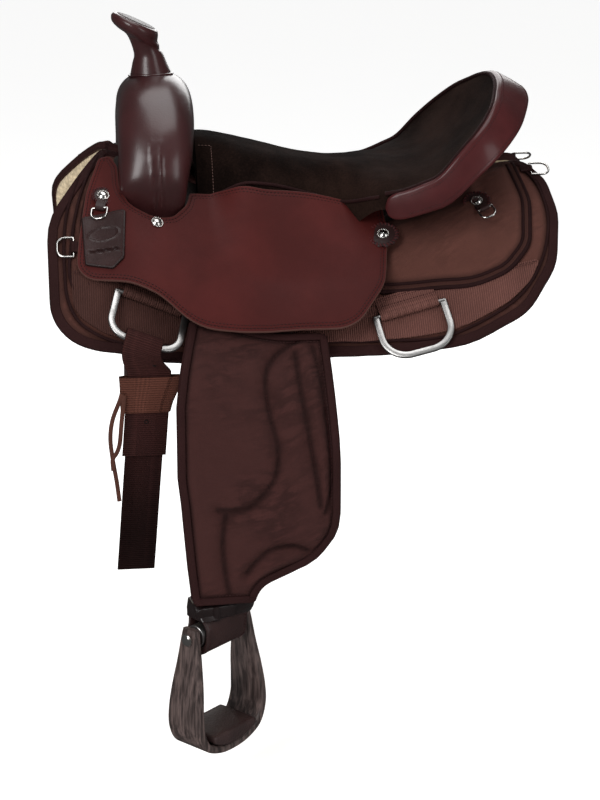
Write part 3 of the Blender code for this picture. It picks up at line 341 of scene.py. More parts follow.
def loft(rings, capped=True, closed=False):
    rings = np.asarray(rings, float)
    n, m = rings.shape[:2]
    run = np.concatenate(([0.0], np.cumsum(np.linalg.norm(np.diff(rings, axis=0), axis=2).mean(1))))
    around = np.linalg.norm(np.roll(rings, -1, 1) - rings, axis=2).mean(0)
    flats = np.stack([np.repeat(run, m), np.tile(np.cumsum(around), n), np.full(n * m, 0.05)], -1)
    return rings.reshape(-1, 3), tubeFaces(n, m, closed, capped), flats


def oval(width, height, corners=10):
    turns = circle(corners)
    return np.stack([np.cos(turns) * width / 2, np.sin(turns) * height / 2], -1)


def bandProfile(width, low, high, bevel):
    half = width / 2
    return [
        (-half, low), (-half, high - bevel), (-half + bevel * 0.4, high - bevel * 0.35),
        (-half + bevel, high),
        (half - bevel, high), (half - bevel * 0.4, high - bevel * 0.35), (half, high - bevel), (half, low),
    ]


seamStitch = {"pitch": 0.0042, "length": 0.0030, "thread": 0.0007}
# (along, size, lift) of the rings that a stitch is made of
stitchRings = ((-0.5, 0.45, -0.9), (-0.3, 0.9, 0.1), (0.0, 1.0, 0.35), (0.3, 0.9, 0.1), (0.5, 0.45, -0.9))


def stitches(points, normals, look):
    # a row of short raised threads that dip into the surface at both ends
    path = spaced(points, look["pitch"])
    whole = lengthsAlong(points)
    normals = np.broadcast_to(np.asarray(normals, float), np.shape(points))
    steps = np.linspace(0, 1, len(path))
    ups = np.stack([np.interp(steps, whole / whole[-1], column) for column in normals.T], -1)
    ahead = unit(np.gradient(path, axis=0))
    across = unit(np.cross(ahead, ups))
    radius, corners = look["thread"] / 2, 5
    turns = circle(corners)
    one = tubeFaces(len(stitchRings), corners)
    places, faces = [], []
    for here, forward, wide, up in zip(path, ahead, across, ups):
        faces += [[len(places) + index for index in face] for face in one]
        for along, size, lift in stitchRings:
            centre = here + forward * along * look["length"] + up * radius * lift
            ring = np.outer(np.cos(turns), wide) + np.outer(np.sin(turns), up)
            places.extend(centre + ring * radius * size)
    return np.array(places), faces


def sew(name, lines, finish="thread", body="saddle", look=seamStitch):
    # rows of stitches as one piece, from lines of (points, normals)
    addPiece(name, [stitches(*line, look) for line in lines], finish, body=body)


# Shader maths
class Wire:
    def __init__(self, tree, socket):
        self.tree = tree
        self.socket = socket

    def node(self, kind, settings=None, values=None, output=0):
        made = self.tree.nodes.new(kind)
        for key, value in (settings or {}).items():
            setattr(made, key, value)
        for key, value in (values or {}).items():
            if isinstance(value, Wire):
                self.tree.links.new(value.socket, made.inputs[key])
            else:
                made.inputs[key].default_value = value
        return Wire(self.tree, made.outputs[output])

    def maths(self, operation, *values):
        return self.node("ShaderNodeMath", {"operation": operation}, dict(enumerate(values)))

    def __add__(self, other):
        return self.maths("ADD", self, other)

    def __sub__(self, other):
        return self.maths("SUBTRACT", self, other)

    def __mul__(self, other):
        return self.maths("MULTIPLY", self, other)

    def __rsub__(self, other):
        return self.maths("SUBTRACT", other, self)

    __radd__ = __add__
    __rmul__ = __mul__

    def sine(self):
        return self.maths("SINE", self)

    def amount(self):
        return self.maths("ABSOLUTE", self)

    def clamp(self):
        return self.node("ShaderNodeClamp", None, {0: self})

    def range(self, low, high, toLow=0.0, toHigh=1.0):
        # how far the value has got from low to high, smoothly
        settings = {"interpolation_type": "SMOOTHSTEP"}
        return self.node("ShaderNodeMapRange", settings, {0: self, 1: low, 2: high, 3: toLow, 4: toHigh})

    def blend(self, first, second):
        # mixes two colours by this factor
        return self.node("ShaderNodeMix", {"data_type": "RGBA"}, {0: self, 6: first, 7: second}, 2)

    def part(self, index):
        return self.node("ShaderNodeSeparateXYZ", None, {0: self}, index)

    def noise(self, scale, detail=3.0, roughness=0.5):
        values = {"Vector": self, "Scale": scale, "Detail": detail, "Roughness": roughness}
        return self.node("ShaderNodeTexNoise", None, values)

    def cells(self, scale):
        return self.node("ShaderNodeTexVoronoi", None, {"Vector": self, "Scale": scale})

    def stretched(self, x, y, z):
        return self.node("ShaderNodeVectorMath", {"operation": "MULTIPLY"}, {0: self, 1: (x, y, z)})

    def rotated(self, angle):
        return self.node("ShaderNodeMapping", None, {"Vector": self, "Rotation": (0.0, 0.0, angle)})

    def bumped(self, distance):
        return self.node("ShaderNodeBump", None, {"Height": self, "Distance": distance, "Strength": 1.0})


def rgba(colour, gain=1.0):
    return (*(min(value * gain, 1.0) for value in colour), 1.0)


def newMaterial(name, fixed):
    material = bpy.data.materials.new(name)
    material.use_nodes = True
    tree = material.node_tree
    shader = tree.nodes["Principled BSDF"]
    for socket, value in fixed.items():
        shader.inputs[socket].default_value = value
    start = Wire(tree, None)
    places = start.node("ShaderNodeTexCoord", output=3)
    flat = start.node("ShaderNodeAttribute", {"attribute_name": "flat"}, output=1)

    def feed(**wires):
        for socket, wire in wires.items():
            tree.links.new(wire.socket, shader.inputs[socket.replace("_", " ")])

    return material, places, flat, feed


def leather(name, look):
    fixed = {
        "Coat Weight": look.get("coat", 0.0), "Coat Roughness": look.get("coatRoughness", 0.15),
        "Specular IOR Level": look.get("shine", 0.3),
    }
    material, places, flat, feed = newMaterial(name, fixed)
    mottle = places.noise(look["mottle"], 4.0, 0.6)
    fine = places.noise(look["grain"] * 0.35, 3.0, 0.6)
    pores = places.cells(look["grain"])
    base = mottle.range(0.35, 0.68).blend(rgba(look["colour"], 0.82), rgba(look["colour"], 1.15))
    if not look.get("plain"):
        rim = 1 - flat.part(2).range(0.0005, look.get("edgeWidth", 0.004))
        base = rim.blend(base, rgba(look.get("edgeColour", look["colour"]), look.get("edgeGain", 0.6)))
    feed(Base_Color=base, Roughness=look["roughness"] + (fine - 0.5) * look.get("uneven", 0.18))
    height = pores * 0.6 + fine * 0.5 + places.noise(look["mottle"] * 2.2, 2.0) * look.get("dents", 1.0)
    feed(Normal=height.bumped(look["depth"]))
    return material


def cloth(name, look):
    fixed = {"Sheen Weight": 0.015, "Sheen Roughness": 0.5, "Specular IOR Level": 0.12}
    material, places, flat, feed = newMaterial(name, fixed)
    colour, creases = look["colour"], look["creases"]
    thread = math.pi / look["thread"]
    warp = (flat.part(0) * thread).sine()
    weft = (flat.part(1) * thread).sine()
    over = (warp * weft).range(-0.25, 0.25)
    ridge = warp.amount() * over + weft.amount() * (1 - over)
    patches = places.noise(look["patch"], 3.0, 0.55)
    flecks = flat.noise(900.0, 2.0, 0.7)
    tone = (patches - 0.5) * 0.5 + (flecks - 0.5) * 0.7 + ridge * 0.35 + 0.35
    base = tone.clamp().blend(rgba(colour, 0.55), rgba(colour, 1.5))
    # painted shade, with some dirt, darkens the cloth along seams and edges
    seam = (1 - flat.part(2).range(0.0005, look["shade"])) * 0.75
    base = seam.blend(base, rgba(colour, 0.35))
    # soft creases run aslant over the panel, with painted shade darkening their valleys
    folds = flat.rotated(0.45).stretched(17.0, 46.0, 0.0).noise(1.0, 4.0, 0.6)
    valley = (1 - (folds - 0.5).amount().range(0.0, 0.13)) * patches.range(0.38, 0.62)
    base = (valley * creases).blend(base, rgba(colour, 0.42))
    feed(Base_Color=base, Roughness=0.92 - ridge * 0.15)
    height = ridge + places.noise(60.0, 3.0) * 1.5 + (folds * 22.0 - valley * 5.0) * creases
    feed(Normal=height.bumped(look["depth"]))
    return material


def ribbed(name, look):
    # nylon webbing: ribs across its length, crossed by fine threads
    material, places, flat, feed = newMaterial(name, {"Sheen Weight": 0.0, "Specular IOR Level": 0.08})
    rib = (flat.part(0) * (2 * math.pi / look["rib"])).sine() * 0.5 + 0.5
    thread = (flat.part(1) * (2 * math.pi / look["thread"])).sine() * 0.5 + 0.5
    worn = (flat.noise(500.0, 2.0, 0.7) - 0.5) * 0.6 + (places.noise(16.0, 2.0) - 0.5) * 0.5
    tone = rib * 0.5 + thread * 0.25 + worn
    base = tone.clamp().blend(rgba(look["colour"], 0.5), rgba(look["colour"], 1.55))
    if "shadeRamp" in look:
        # painted shade: the colour darkens toward the first place along the axis
        axis, low, high, least = look["shadeRamp"]
        base = places.part(axis).range(low, high, least, 1.0).blend((0.0, 0.0, 0.0, 1.0), base)
    feed(Base_Color=base, Roughness=0.80 - rib * 0.18)
    feed(Normal=(rib * 1.6 + thread * 0.7).bumped(look["depth"]))
    return material


def suede(name, look):
    material, places, _, feed = newMaterial(name, {"Sheen Weight": 0.0, "Specular IOR Level": 0.02})
    stroked = places.stretched(1.0, 0.5, 0.8).noise(9.0, 4.0, 0.62)
    nap = places.noise(420.0, 3.0, 0.7)
    brushed = (stroked * 0.75 + nap * 0.35 - 0.05).range(0.35, 0.75)
    base = brushed.blend(rgba(look["colour"], 0.6), rgba(look["nap"]))
    feed(Base_Color=base, Roughness=0.93 + (nap - 0.5) * 0.1)
    feed(Normal=(nap + places.noise(90.0, 3.0) * 1.2).bumped(look["depth"]))
    return material


def fleeceWool(name, look):
    fixed = {"Sheen Weight": 0.1, "Sheen Roughness": 0.6, "Specular IOR Level": 0.1}
    material, places, _, feed = newMaterial(name, fixed)
    tufts = places.cells(160.0)
    fibres = places.noise(700.0, 3.0, 0.75)
    # painted shade: the wool darkens in the low gaps between tufts, where the bump sinks
    deep = (tufts * 1.1 + (fibres - 0.5) * 0.8).clamp()
    base = deep.blend(rgba(look["colour"], 1.1), rgba(look["colour"], 0.55))
    feed(Base_Color=base, Roughness=0.98 - fibres * 0.05)
    feed(Normal=(fibres - tufts * 1.5).bumped(look["depth"]))
    return material


def metal(name, look):
    material, places, _, feed = newMaterial(name, {"Metallic": 1.0})
    hair = places.stretched(1.0, 1.0, 14.0).noise(90.0, 4.0, 0.65)
    spots = places.noise(38.0, 4.0, 0.6)
    base = spots.range(0.45, 0.72).blend(rgba(look["colour"]), rgba(look["colour"], 0.72))
    feed(Base_Color=base, Roughness=look["roughness"] + (hair - 0.5) * 0.22 + spots.range(0.5, 0.8) * 0.12)
    feed(Normal=hair.bumped(0.00006))
    return material


def stainedWood(name, look):
    fixed = {"Coat Weight": 0.25, "Coat Roughness": 0.3, "Specular IOR Level": 0.4}
    material, places, _, feed = newMaterial(name, fixed)
    streak = places.stretched(150.0, 150.0, 9.0).noise(1.6, 4.0, 0.65)
    cloud = places.noise(26.0, 4.0, 0.6)
    figure = (streak * 0.95 + cloud * 0.18 - 0.06).range(0.36, 0.72)
    base = figure.blend(rgba(look["colour"], 0.5), rgba(look["light"]))
    feed(Base_Color=base, Roughness=0.50 + (streak - 0.5) * 0.3)
    feed(Normal=(streak + cloud * 0.3).bumped(look["depth"]))
    return material


def moulded(name, look):
    material, places, _, feed = newMaterial(name, {"Specular IOR Level": 0.4})
    mottle = places.noise(20.0, 4.0, 0.6)
    base = mottle.blend(rgba(look["colour"], 0.8), rgba(look["colour"], 1.25))
    feed(Base_Color=base, Roughness=0.55 + mottle * 0.2)
    feed(Normal=(places.cells(240.0) + mottle).bumped(0.0002))
    return material


fineGrain = {"mottle": 60.0, "grain": 900.0}
threadLook = {"roughness": 0.6, "depth": 0.0001, **fineGrain}
finishes = {
    "gloss": leather("glossLeather", {
        "colour": (0.036, 0.0085, 0.0090), "roughness": 0.40, "coat": 0.75, "coatRoughness": 0.24,
        "mottle": 9.0,
        "grain": 420.0, "depth": 0.00016, "dents": 1.6, "uneven": 0.16,
    }),
    "band": leather("bandLeather", {
        "colour": (0.052, 0.0092, 0.0098), "roughness": 0.44, "coat": 0.45, "coatRoughness": 0.20,
        "shine": 0.12,
        "mottle": 11.0, "grain": 520.0, "depth": 0.00014, "dents": 1.4, "uneven": 0.16,
    }),
    "jockey": leather("jockeyLeather", {
        "colour": (0.056, 0.0088, 0.0078), "roughness": 0.55, "shine": 0.10, "mottle": 7.0, "grain": 700.0,
        "depth": 0.00012, "edgeWidth": 0.0014, "edgeColour": (0.075, 0.034, 0.028), "edgeGain": 1.0,
    }),
    "dark": leather("darkLeather", {
        "colour": (0.027, 0.0120, 0.0115), "roughness": 0.46, "coat": 0.12, "coatRoughness": 0.3,
        "mottle": 30.0,
        "grain": 460.0, "depth": 0.00035, "dents": 2.2, "shine": 0.2,
    }),
    "tan": leather("tanLeather", {
        "colour": (0.075, 0.022, 0.012), "roughness": 0.55, "mottle": 30.0, "grain": 500.0, "depth": 0.0002,
    }),
    "strap": leather("strapLeather", {
        "colour": (0.030, 0.0125, 0.0115), "roughness": 0.48, "coat": 0.10, "mottle": 22.0, "grain": 420.0,
        "depth": 0.0003, "plain": True,
    }),
    "hobble": leather("hobbleLeather", {
        "colour": (0.012, 0.0065, 0.0065), "roughness": 0.34, "coat": 0.5, "mottle": 30.0, "grain": 500.0,
        "depth": 0.0002, "plain": True,
    }),
    "tread": leather("treadLeather", {
        "colour": (0.036, 0.0190, 0.0180), "roughness": 0.50, "coat": 0.08, "mottle": 24.0, "grain": 380.0,
        "depth": 0.0005, "plain": True,
    }),
    # painted shade: near-black discs stand in for the shade inside punched holes
    "hole": leather("punchedHoleShade", {
        "colour": (0.004, 0.003, 0.003), "roughness": 0.9, "depth": 0.0002, "plain": True, **fineGrain,
    }),
    "thread": leather("darkThread", {"colour": (0.060, 0.0075, 0.0085), **threadLook}),
    "paleThread": leather("paleThread", {"colour": (0.22, 0.12, 0.10), **threadLook}),
    "jockeyThread": leather("jockeyThread", {"colour": (0.014, 0.0030, 0.0030), "plain": True, **threadLook}),
    "suede": suede("seatSuede", {
        "colour": (0.0060, 0.0034, 0.0028), "nap": (0.0200, 0.0105, 0.0080), "depth": 0.0003,
    }),
    "cordura": cloth("corduraCloth", {
        "colour": (0.088, 0.0330, 0.0250), "thread": 0.00075, "depth": 0.00022, "patch": 14.0, "creases": 0.3,
        "shade": 0.009,
    }),
    "fenderCloth": cloth("fenderCloth", {
        "colour": (0.043, 0.0146, 0.0130), "thread": 0.00075, "depth": 0.00022, "patch": 9.0, "creases": 0.6,
        "shade": 0.006,
    }),
    "binding": ribbed("bindingTape", {
        "colour": (0.026, 0.0088, 0.0085), "rib": 0.0012, "thread": 0.0009, "depth": 0.00015,
    }),
    "piping": ribbed("pipingTape", {
        "colour": (0.020, 0.0068, 0.0068), "rib": 0.0011, "thread": 0.0009, "depth": 0.00012,
    }),
    # shadeRamp: painted shade that darkens the web toward one place: the axis, the two places that it runs
    # between, and how much light is left at the first
    "rigging": ribbed("riggingWeb", {
        "colour": (0.140, 0.0600, 0.0490), "rib": 0.0027, "thread": 0.0011, "depth": 0.00035,
        "shadeRamp": (0, -0.25, 0.12, 0.42),
    }),
    "latigo": ribbed("latigoWeb", {
        "colour": (0.034, 0.0105, 0.0092), "rib": 0.0026, "thread": 0.0010, "depth": 0.0004,
        "shadeRamp": (2, -0.36, -0.19, 0.35),
    }),
    "loop": ribbed("loopWeb", {
        "colour": (0.078, 0.0270, 0.0180), "rib": 0.0030, "thread": 0.0010, "depth": 0.00035,
    }),
    "fleece": fleeceWool("woolFleece", {"colour": (0.62, 0.50, 0.33), "depth": 0.0012}),
    "steel": metal("brushedSteel", {"colour": (0.56, 0.55, 0.54), "roughness": 0.34}),
    "silver": metal("brightSilver", {"colour": (0.80, 0.78, 0.75), "roughness": 0.20}),
    "wood": stainedWood("stainedWood", {
        "colour": (0.050, 0.0310, 0.0280), "light": (0.120, 0.080, 0.072), "depth": 0.0003,
    }),
    "tree": moulded("treeShell", {"colour": (0.022, 0.015, 0.013)}),
}
print("finishes made")

stage = {
    "floorHeight": -0.68,
    "floorSize": 40.0,
    "floorColour": (0.90, 0.90, 0.895),
    "floorGlow": 0.46,
    "world": 0.56,
    "glossyWorld": 0.06,
    # name: (place, size, power, aim)
    "lights": {
        "keySoftbox": ((-1.6, -2.2, 1.5), (1.1, 2.0), 46.0, (0.0, 0.0, -0.1)),
        "fillSoftbox": ((1.9, -2.0, 0.9), (0.9, 1.8), 12.0, (0.0, 0.0, -0.1)),
        "topSoftbox": ((0.2, 0.1, 2.4), (2.2, 1.6), 30.0, (0.0, 0.0, 0.0)),
        "backSoftbox": ((0.4, 2.4, 1.0), (1.8, 1.4), 22.0, (0.0, 0.0, -0.1)),
    },
}


def addLight(name, place, size, power, aim):
    data = bpy.data.lights.new(name, "AREA")
    data.shape = "RECTANGLE"
    data.size, data.size_y = size
    data.energy = power
    light = bpy.data.objects.new(name, data)
    bpy.context.scene.collection.objects.link(light)
    light.location = place
    light.rotation_euler = (Vector(aim) - Vector(place)).to_track_quat("-Z", "Y").to_euler()


def buildStage():
    world = bpy.data.worlds.new("studio")
    bpy.context.scene.world = world
    world.use_nodes = True
    background = world.node_tree.nodes["Background"]
    background.inputs["Color"].default_value = (1.0, 1.0, 1.0, 1.0)
    glossy = Wire(world.node_tree, None).node("ShaderNodeLightPath", output=3)
    strength = stage["world"] + glossy * (stage["glossyWorld"] - stage["world"])
    world.node_tree.links.new(strength.socket, background.inputs["Strength"])
    for name, look in stage["lights"].items():
        addLight(name, *look)
    bpy.context.scene.view_settings.view_transform = "Standard"
    half = stage["floorSize"] / 2
    corners = [
        (x, y, stage["floorHeight"]) for x, y in ((-half, -half), (half, -half), (half, half), (-half, half))
    ]
    material, places, _, feed = newMaterial("paleFloor", {
        "Specular IOR Level": 0.1, "Emission Color": (1.0, 1.0, 1.0, 1.0),
        "Emission Strength": stage["floorGlow"],
    })
    tone = places.noise(3.0, 3.0, 0.5)
    base = tone.blend(rgba(stage["floorColour"]), rgba(stage["floorColour"], 0.98))
    feed(Base_Color=base, Roughness=0.9 + tone * 0.05)
    floor = makeMesh("floor", [(corners, [[0, 1, 2, 3]])], material, flip=False)
    floor.visible_glossy = False


buildStage()
print("stage built")

layers = {
    "skirt": 0.008,
    "fleece": 0.0117,
    "bar": 0.012,
    "rearPanel": 0.010,
    "jockey": 0.0045,
    "gap": 0.0003,
}


def edgeDrop(edge, radius):
    # how far a rounded edge falls below the surface, by distance from the edge
    share = np.clip(1 - edge / radius, 0, 1)
    return radius * (1 - np.sqrt(1 - share ** 2))


def layPanel(name, side, flat, under, over, finish, replaces):
    x, s = flat["points"].T
    part = shellOf(flat, onForm(side, x, s, over), onForm(side, x, s, under))
    return addPiece(name, [part], finish, replaces)


def lineOn(side, line, offset):
    # a flat line carried onto the form, with the normals there
    x, s = np.asarray(line).T
    lift = offset(x, s) if callable(offset) else np.full(len(x), offset)
    return onForm(side, x, s, lift), normalOn(side, x, s, lift)


def alongEdge(loop, start, end, distance):
    # the stretch of a closed outline between the points nearest to start and end, moved inward
    inner = inset(loop, distance)
    first = np.linalg.norm(loop - start, axis=1).argmin()
    last = np.linalg.norm(loop - end, axis=1).argmin()
    count = (last - first) % len(loop) + 1
    return inner[(first + np.arange(count)) % len(loop)]


def frameFrom(origin, *axes):
    matrix = Matrix([Vector(axis) for axis in axes]).transposed().to_4x4()
    matrix.translation = Vector(origin)
    return matrix


def frameOn(side, x, s, offset):
    ahead = onForm(side, x + 0.004, s, offset) - onForm(side, x - 0.004, s, offset)
    out = Vector(normalOn(side, x, s, offset))
    along = Vector(ahead).normalized()
    down = out.cross(along) if out.cross(along).z < 0 else along.cross(out)
    return frameFrom(onForm(side, x, s, offset), along, down, out)


def placed(matrix, points):
    turn = np.array(matrix.to_3x3())
    return np.asarray(points, float) @ turn.T + np.array(matrix.translation)


skirt = {
    "corners": (
        (-0.262, 0.034, 0.010), (-0.330, 0.165, 0.120), (-0.327, 0.350, 0.085), (-0.190, 0.336, 0.150),
        (-0.088, 0.283, 0.200), (0.060, 0.277, 0.300), (0.190, 0.303, 0.100), (0.262, 0.281, 0.060),
        (0.306, 0.216, 0.100), (0.321, 0.135, 0.100), (0.3155, 0.075, 0.050), (0.292, 0.034, 0.020),
    ),
    "cell": 0.006,
    "bindingWidth": 0.0105,
    "bindingRise": 0.0016,
    "pipes": (
        (
            (-0.266, 0.050), (-0.285, 0.107), (-0.296, 0.157), (-0.303, 0.211), (-0.305, 0.245),
            (-0.300, 0.268),
        ),
        (
            (-0.258, 0.050), (-0.274, 0.097), (-0.285, 0.141), (-0.290, 0.190), (-0.289, 0.229),
            (-0.282, 0.262),
        ),
        (
            (0.290, 0.052), (0.302, 0.078), (0.3070, 0.110), (0.3070, 0.142), (0.301, 0.174), (0.290, 0.206),
            (0.273, 0.237), (0.252, 0.259), (0.225, 0.273), (0.190, 0.282), (0.150, 0.283), (0.076, 0.266),
            (0.010, 0.262), (-0.088, 0.268), (-0.160, 0.298), (-0.215, 0.325), (-0.260, 0.330),
            (-0.293, 0.312),
            (-0.308, 0.280), (-0.311, 0.240), (-0.311, 0.200), (-0.306, 0.150), (-0.290, 0.090),
        ),
    ),
    "pipeRadius": 0.0019,
    "puff": 0.0022,
    "puffWidth": 0.010,
    "sink": 0.0015,
    "woolInset": 0.0045,
    "woolCell": 0.005,
}


def buildSkirts():
    loop = spaced(rounded(skirt["corners"]), 0.0045, True)
    flat = flatPanel(loop, skirt["cell"], skirt["cell"], (0.0012, 0.0035))
    lines = [curved(line, 10) for line in skirt["pipes"]]
    near = np.min([distanceTo(flat["points"], line) for line in lines] + [flat["edge"]], axis=0)
    ripple = wobble(flat["points"], 26.0, 3.0) * 0.0005 + wobble(flat["points"], 70.0, 5.0) * 0.00025
    puff = skirt["puff"] * (1 - np.exp(-(near / skirt["puffWidth"]) ** 1.5))
    over = puff - skirt["sink"] + ripple - edgeDrop(flat["edge"], 0.003)
    binding = skirt["bindingWidth"]
    flat["edge"] = np.minimum(near, np.maximum(flat["edge"] - binding, 0.0))
    wool = flatPanel(inset(loop, skirt["woolInset"]), skirt["woolCell"], skirt["woolCell"], (0.0025, 0.006))
    tufts = wobble(wool["points"], 170.0, 1.0) * 0.0012 + wobble(wool["points"], 60.0, 2.0) * 0.0011
    woolUnder = -layers["skirt"] - layers["fleece"] + edgeDrop(wool["edge"], 0.008) * 0.9 + tufts
    half = binding / 2
    right = [(half * 0.8, 0.0013), (half, 0.0003), (half, -0.002)]
    face = [(-x, y) for x, y in right[::-1]] + [(0, skirt["bindingRise"])] + right
    pipe = oval(2 * skirt["pipeRadius"], 2 * skirt["pipeRadius"], 8)
    for label, side in sides.items():
        pad = layPanel(
            f"skirtCloth_{label}", side, flat, -layers["skirt"], over, "cordura",
            [f"skirt_{label}"],
        )
        layPanel(
            f"skirtWool_{label}", side, wool, woolUnder, -layers["skirt"] - layers["gap"], "fleece",
            [f"skirt_fleece_{label}"],
        )
        rim = lineOn(side, inset(loop, 0.0008), -layers["skirt"] / 2 + 0.0004)
        trim = [
            sweep(*lineOn(side, inset(loop, half), 0.0), face, True),
            sweep(*rim, oval(0.0056, layers["skirt"] + 0.0022, 12), True),
        ]
        addPiece(f"skirtBinding_{label}", trim, "binding")
        pipes = [sweep(*lineOn(side, spaced(line, 0.004), 0.0006), pipe) for line in lines]
        addPiece(f"skirtPiping_{label}", pipes, "piping")
        sew(
            f"skirtStitches_{label}", [lineOn(side, closedUp(inset(loop, binding - 0.0018)), 0.0010)],
        )


buildSkirts()
print("skirts built")

rigging = {
    "corners": (
        (-0.303, 0.240, 0.004), (-0.220, 0.250, 0.050), (-0.060, 0.240, 0.100), (0.070, 0.2105, 0.050),
        (0.235, 0.2145, 0.100), (0.287, 0.2080, 0.004), (0.270, 0.240, 0.050), (0.240, 0.264, 0.060),
        (0.180, 0.2820, 0.150), (0.060, 0.262, 0.300), (-0.088, 0.266, 0.200), (-0.200, 0.320, 0.150),
        (-0.262, 0.327, 0.050), (-0.302, 0.300, 0.040),
    ),
    "height": 0.0024,
    "rib": 0.0027,
    "ribDepth": 0.0003,
    "stitchEnds": ((-0.300, 0.242), (0.292, 0.2145)),
    "stitchRows": (0.004, 0.0065),
}


def buildRigging():
    loop = spaced(rounded(rigging["corners"]), 0.005, True)
    flat = flatPanel(loop, rigging["rib"] / 4, 0.012, (0.0008,))
    ribs = np.cos(flat["points"][:, 0] * 2 * math.pi / rigging["rib"]) * rigging["ribDepth"]
    sag = wobble(flat["points"], 14.0, 8.0) * 0.0005
    gap, height = layers["gap"], rigging["height"]
    over = gap + height + ribs + sag - edgeDrop(flat["edge"], 0.0012)
    rows = [spaced(alongEdge(loop, *rigging["stitchEnds"], row), 0.004) for row in rigging["stitchRows"]]
    for label, side in sides.items():
        layPanel(
            f"riggingBand_{label}", side, flat, gap - 0.001, over, "rigging",
            [f"rigging_web_{label}"],
        )
        sew(f"riggingStitches_{label}", [lineOn(side, row, gap + height + 0.0004) for row in rows])


buildRigging()
print("rigging bands built")

rearPanel = {
    "corners": (
        (0.080, 0.099, 0.004), (0.080, 0.198, 0.004), (0.150, 0.2150, 0.150), (0.200, 0.2310, 0.080),
        (0.245, 0.2220, 0.045), (0.2760, 0.188, 0.050), (0.2870, 0.115, 0.080), (0.276, 0.037, 0.012),
        (0.202, 0.040, 0.006), (0.197, 0.099, 0.008),
    ),
    "cell": 0.005,
    "crown": 0.0105,
    "pipeInset": 0.0095,
    # (inset, radius, lift) of the two pipes, and where they run from and to
    "pipes": ((0.0005, 0.0030, -0.0022), (0.0095, 0.0022, 0.0002)),
    "pipeEnds": ((0.080, 0.194), (0.278, 0.040)),
    "stitchRow": 0.0052,
}


def rearPanelTop(x, s):
    # follows the end of the tree bar beneath, then falls to the skirt
    over = smoothStep((0.232 - x) / 0.030) * smoothStep((0.190 - s) / 0.030)
    return over * (layers["bar"] + layers["gap"]) + layers["rearPanel"] * 0.55


def buildRearPanels():
    loop = spaced(rounded(rearPanel["corners"]), 0.004, True)
    flat = flatPanel(loop, rearPanel["cell"], rearPanel["cell"], (0.0012, 0.0035))
    base = rearPanelTop(*flat["points"].T)
    inner = np.maximum(flat["edge"] - rearPanel["pipeInset"], 0.0)
    crown = rearPanel["crown"] * 0.62 * (1 - np.exp(-inner / 0.012))
    folds = wobble(flat["points"] * (1.0, 0.35), 60.0, 11.0) * 0.0007 * (1 - np.exp(-inner / 0.02))
    over = base + crown + folds - edgeDrop(flat["edge"], 0.003)
    flat["edge"] = inner

    def edgeLine(side, distance, lift):
        line = spaced(alongEdge(loop, *rearPanel["pipeEnds"], distance), 0.004)
        return lineOn(side, line, lambda x, s: rearPanelTop(x, s) + lift)

    for label, side in sides.items():
        pad = layPanel(
            f"rearPanelPad_{label}", side, flat, np.minimum(base - 0.0045, over - 0.003), over, "cordura",
            [f"rear_panel_{label}"],
        )
        pipes = [
            sweep(*edgeLine(side, distance, lift), oval(2 * radius, 2 * radius, 10))
            for distance, radius, lift in rearPanel["pipes"]
        ]
        addPiece(f"rearPanelPiping_{label}", pipes, "piping")
        sew(f"rearPanelStitches_{label}", [edgeLine(side, rearPanel["stitchRow"], 0.0002)])


buildRearPanels()
print("rear panels built")

jockey = {
    "corners": (
        (-0.2655, 0.064, 0.008), (-0.2825, 0.125, 0.060), (-0.2930, 0.200, 0.100), (-0.298, 0.256, 0.026),
        (-0.232, 0.2600, 0.050), (-0.197, 0.2665, 0.050), (-0.155, 0.290, 0.060), (-0.050, 0.262, 0.200),
        (0.042, 0.262, 0.050), (0.086, 0.205, 0.050), (0.097, 0.130, 0.080), (0.094, 0.083, 0.001),
        (-0.118, 0.083, 0.010), (-0.1530, 0.100, 0.006), (-0.1580, 0.122, 0.030), (-0.1760, 0.1500, 0.030),
        (-0.200, 0.1620, 0.030), (-0.228, 0.1500, 0.025), (-0.2405, 0.122, 0.030), (-0.2415, 0.085, 0.010),
        (-0.2500, 0.064, 0.008),
    ),
    "base": (
        (-0.300, 0.0006), (-0.275, 0.003), (-0.220, 0.026), (-0.165, 0.034), (0.000, 0.034), (0.055, 0.034),
        (0.110, 0.026),
    ),
    "rise": (
        (-0.165, 0.022), (-0.118, 0.041), (-0.085, 0.066), (-0.055, 0.0675), (-0.005, 0.062), (0.055, 0.044),
        (0.110, 0.030),
    ),
    "top": 0.083,
    "riseEnd": 0.20,
    "cell": 0.006,
    "stitchRows": (0.0042, 0.0078),
    "stitch": {"pitch": 0.0046, "length": 0.0034, "thread": 0.0009},
}


def jockeyUnder(x, s):
    base = smoothTable(jockey["base"], x)
    share = np.clip((jockey["riseEnd"] - s) / (jockey["riseEnd"] - jockey["top"]), 0, 1.2)
    lift = np.maximum(smoothTable(jockey["rise"], x) - base, 0.0) * share ** 1.3
    return base + lift * smoothStep((x + 0.165) / 0.055)


def jockeyOver(x, s):
    return jockeyUnder(x, s) + layers["jockey"]


def buildJockeys():
    loop = spaced(rounded(jockey["corners"]), 0.004, True)
    flat = flatPanel(loop, jockey["cell"], jockey["cell"], (0.0006, 0.0018, 0.0034, 0.0042, 0.0050))
    x, s = flat["points"].T
    wave = wobble(flat["points"], 9.0, 21.0) * 0.0009 * (1 - np.exp(-flat["edge"] / 0.03))
    crease = -0.0004 * np.exp(-((flat["edge"] - jockey["stitchRows"][0]) / 0.0007) ** 2)
    over = jockeyOver(x, s) + wave + crease - edgeDrop(flat["edge"], 0.0016)
    under = jockeyUnder(x, s) + wave + edgeDrop(flat["edge"], 0.0012)
    lines = [closedUp(spaced(inset(loop, row), 0.004, True)) for row in jockey["stitchRows"]]
    for label, side in sides.items():
        layPanel(
            f"jockeyLeather_{label}", side, flat, under, over, "jockey",
            [f"jockey_{label}"],
        )
        rows = [lineOn(side, line, jockeyOver) for line in lines]
        sew(f"jockeyStitches_{label}", rows, "jockeyThread", look=jockey["stitch"])


buildJockeys()
print("jockeys built")

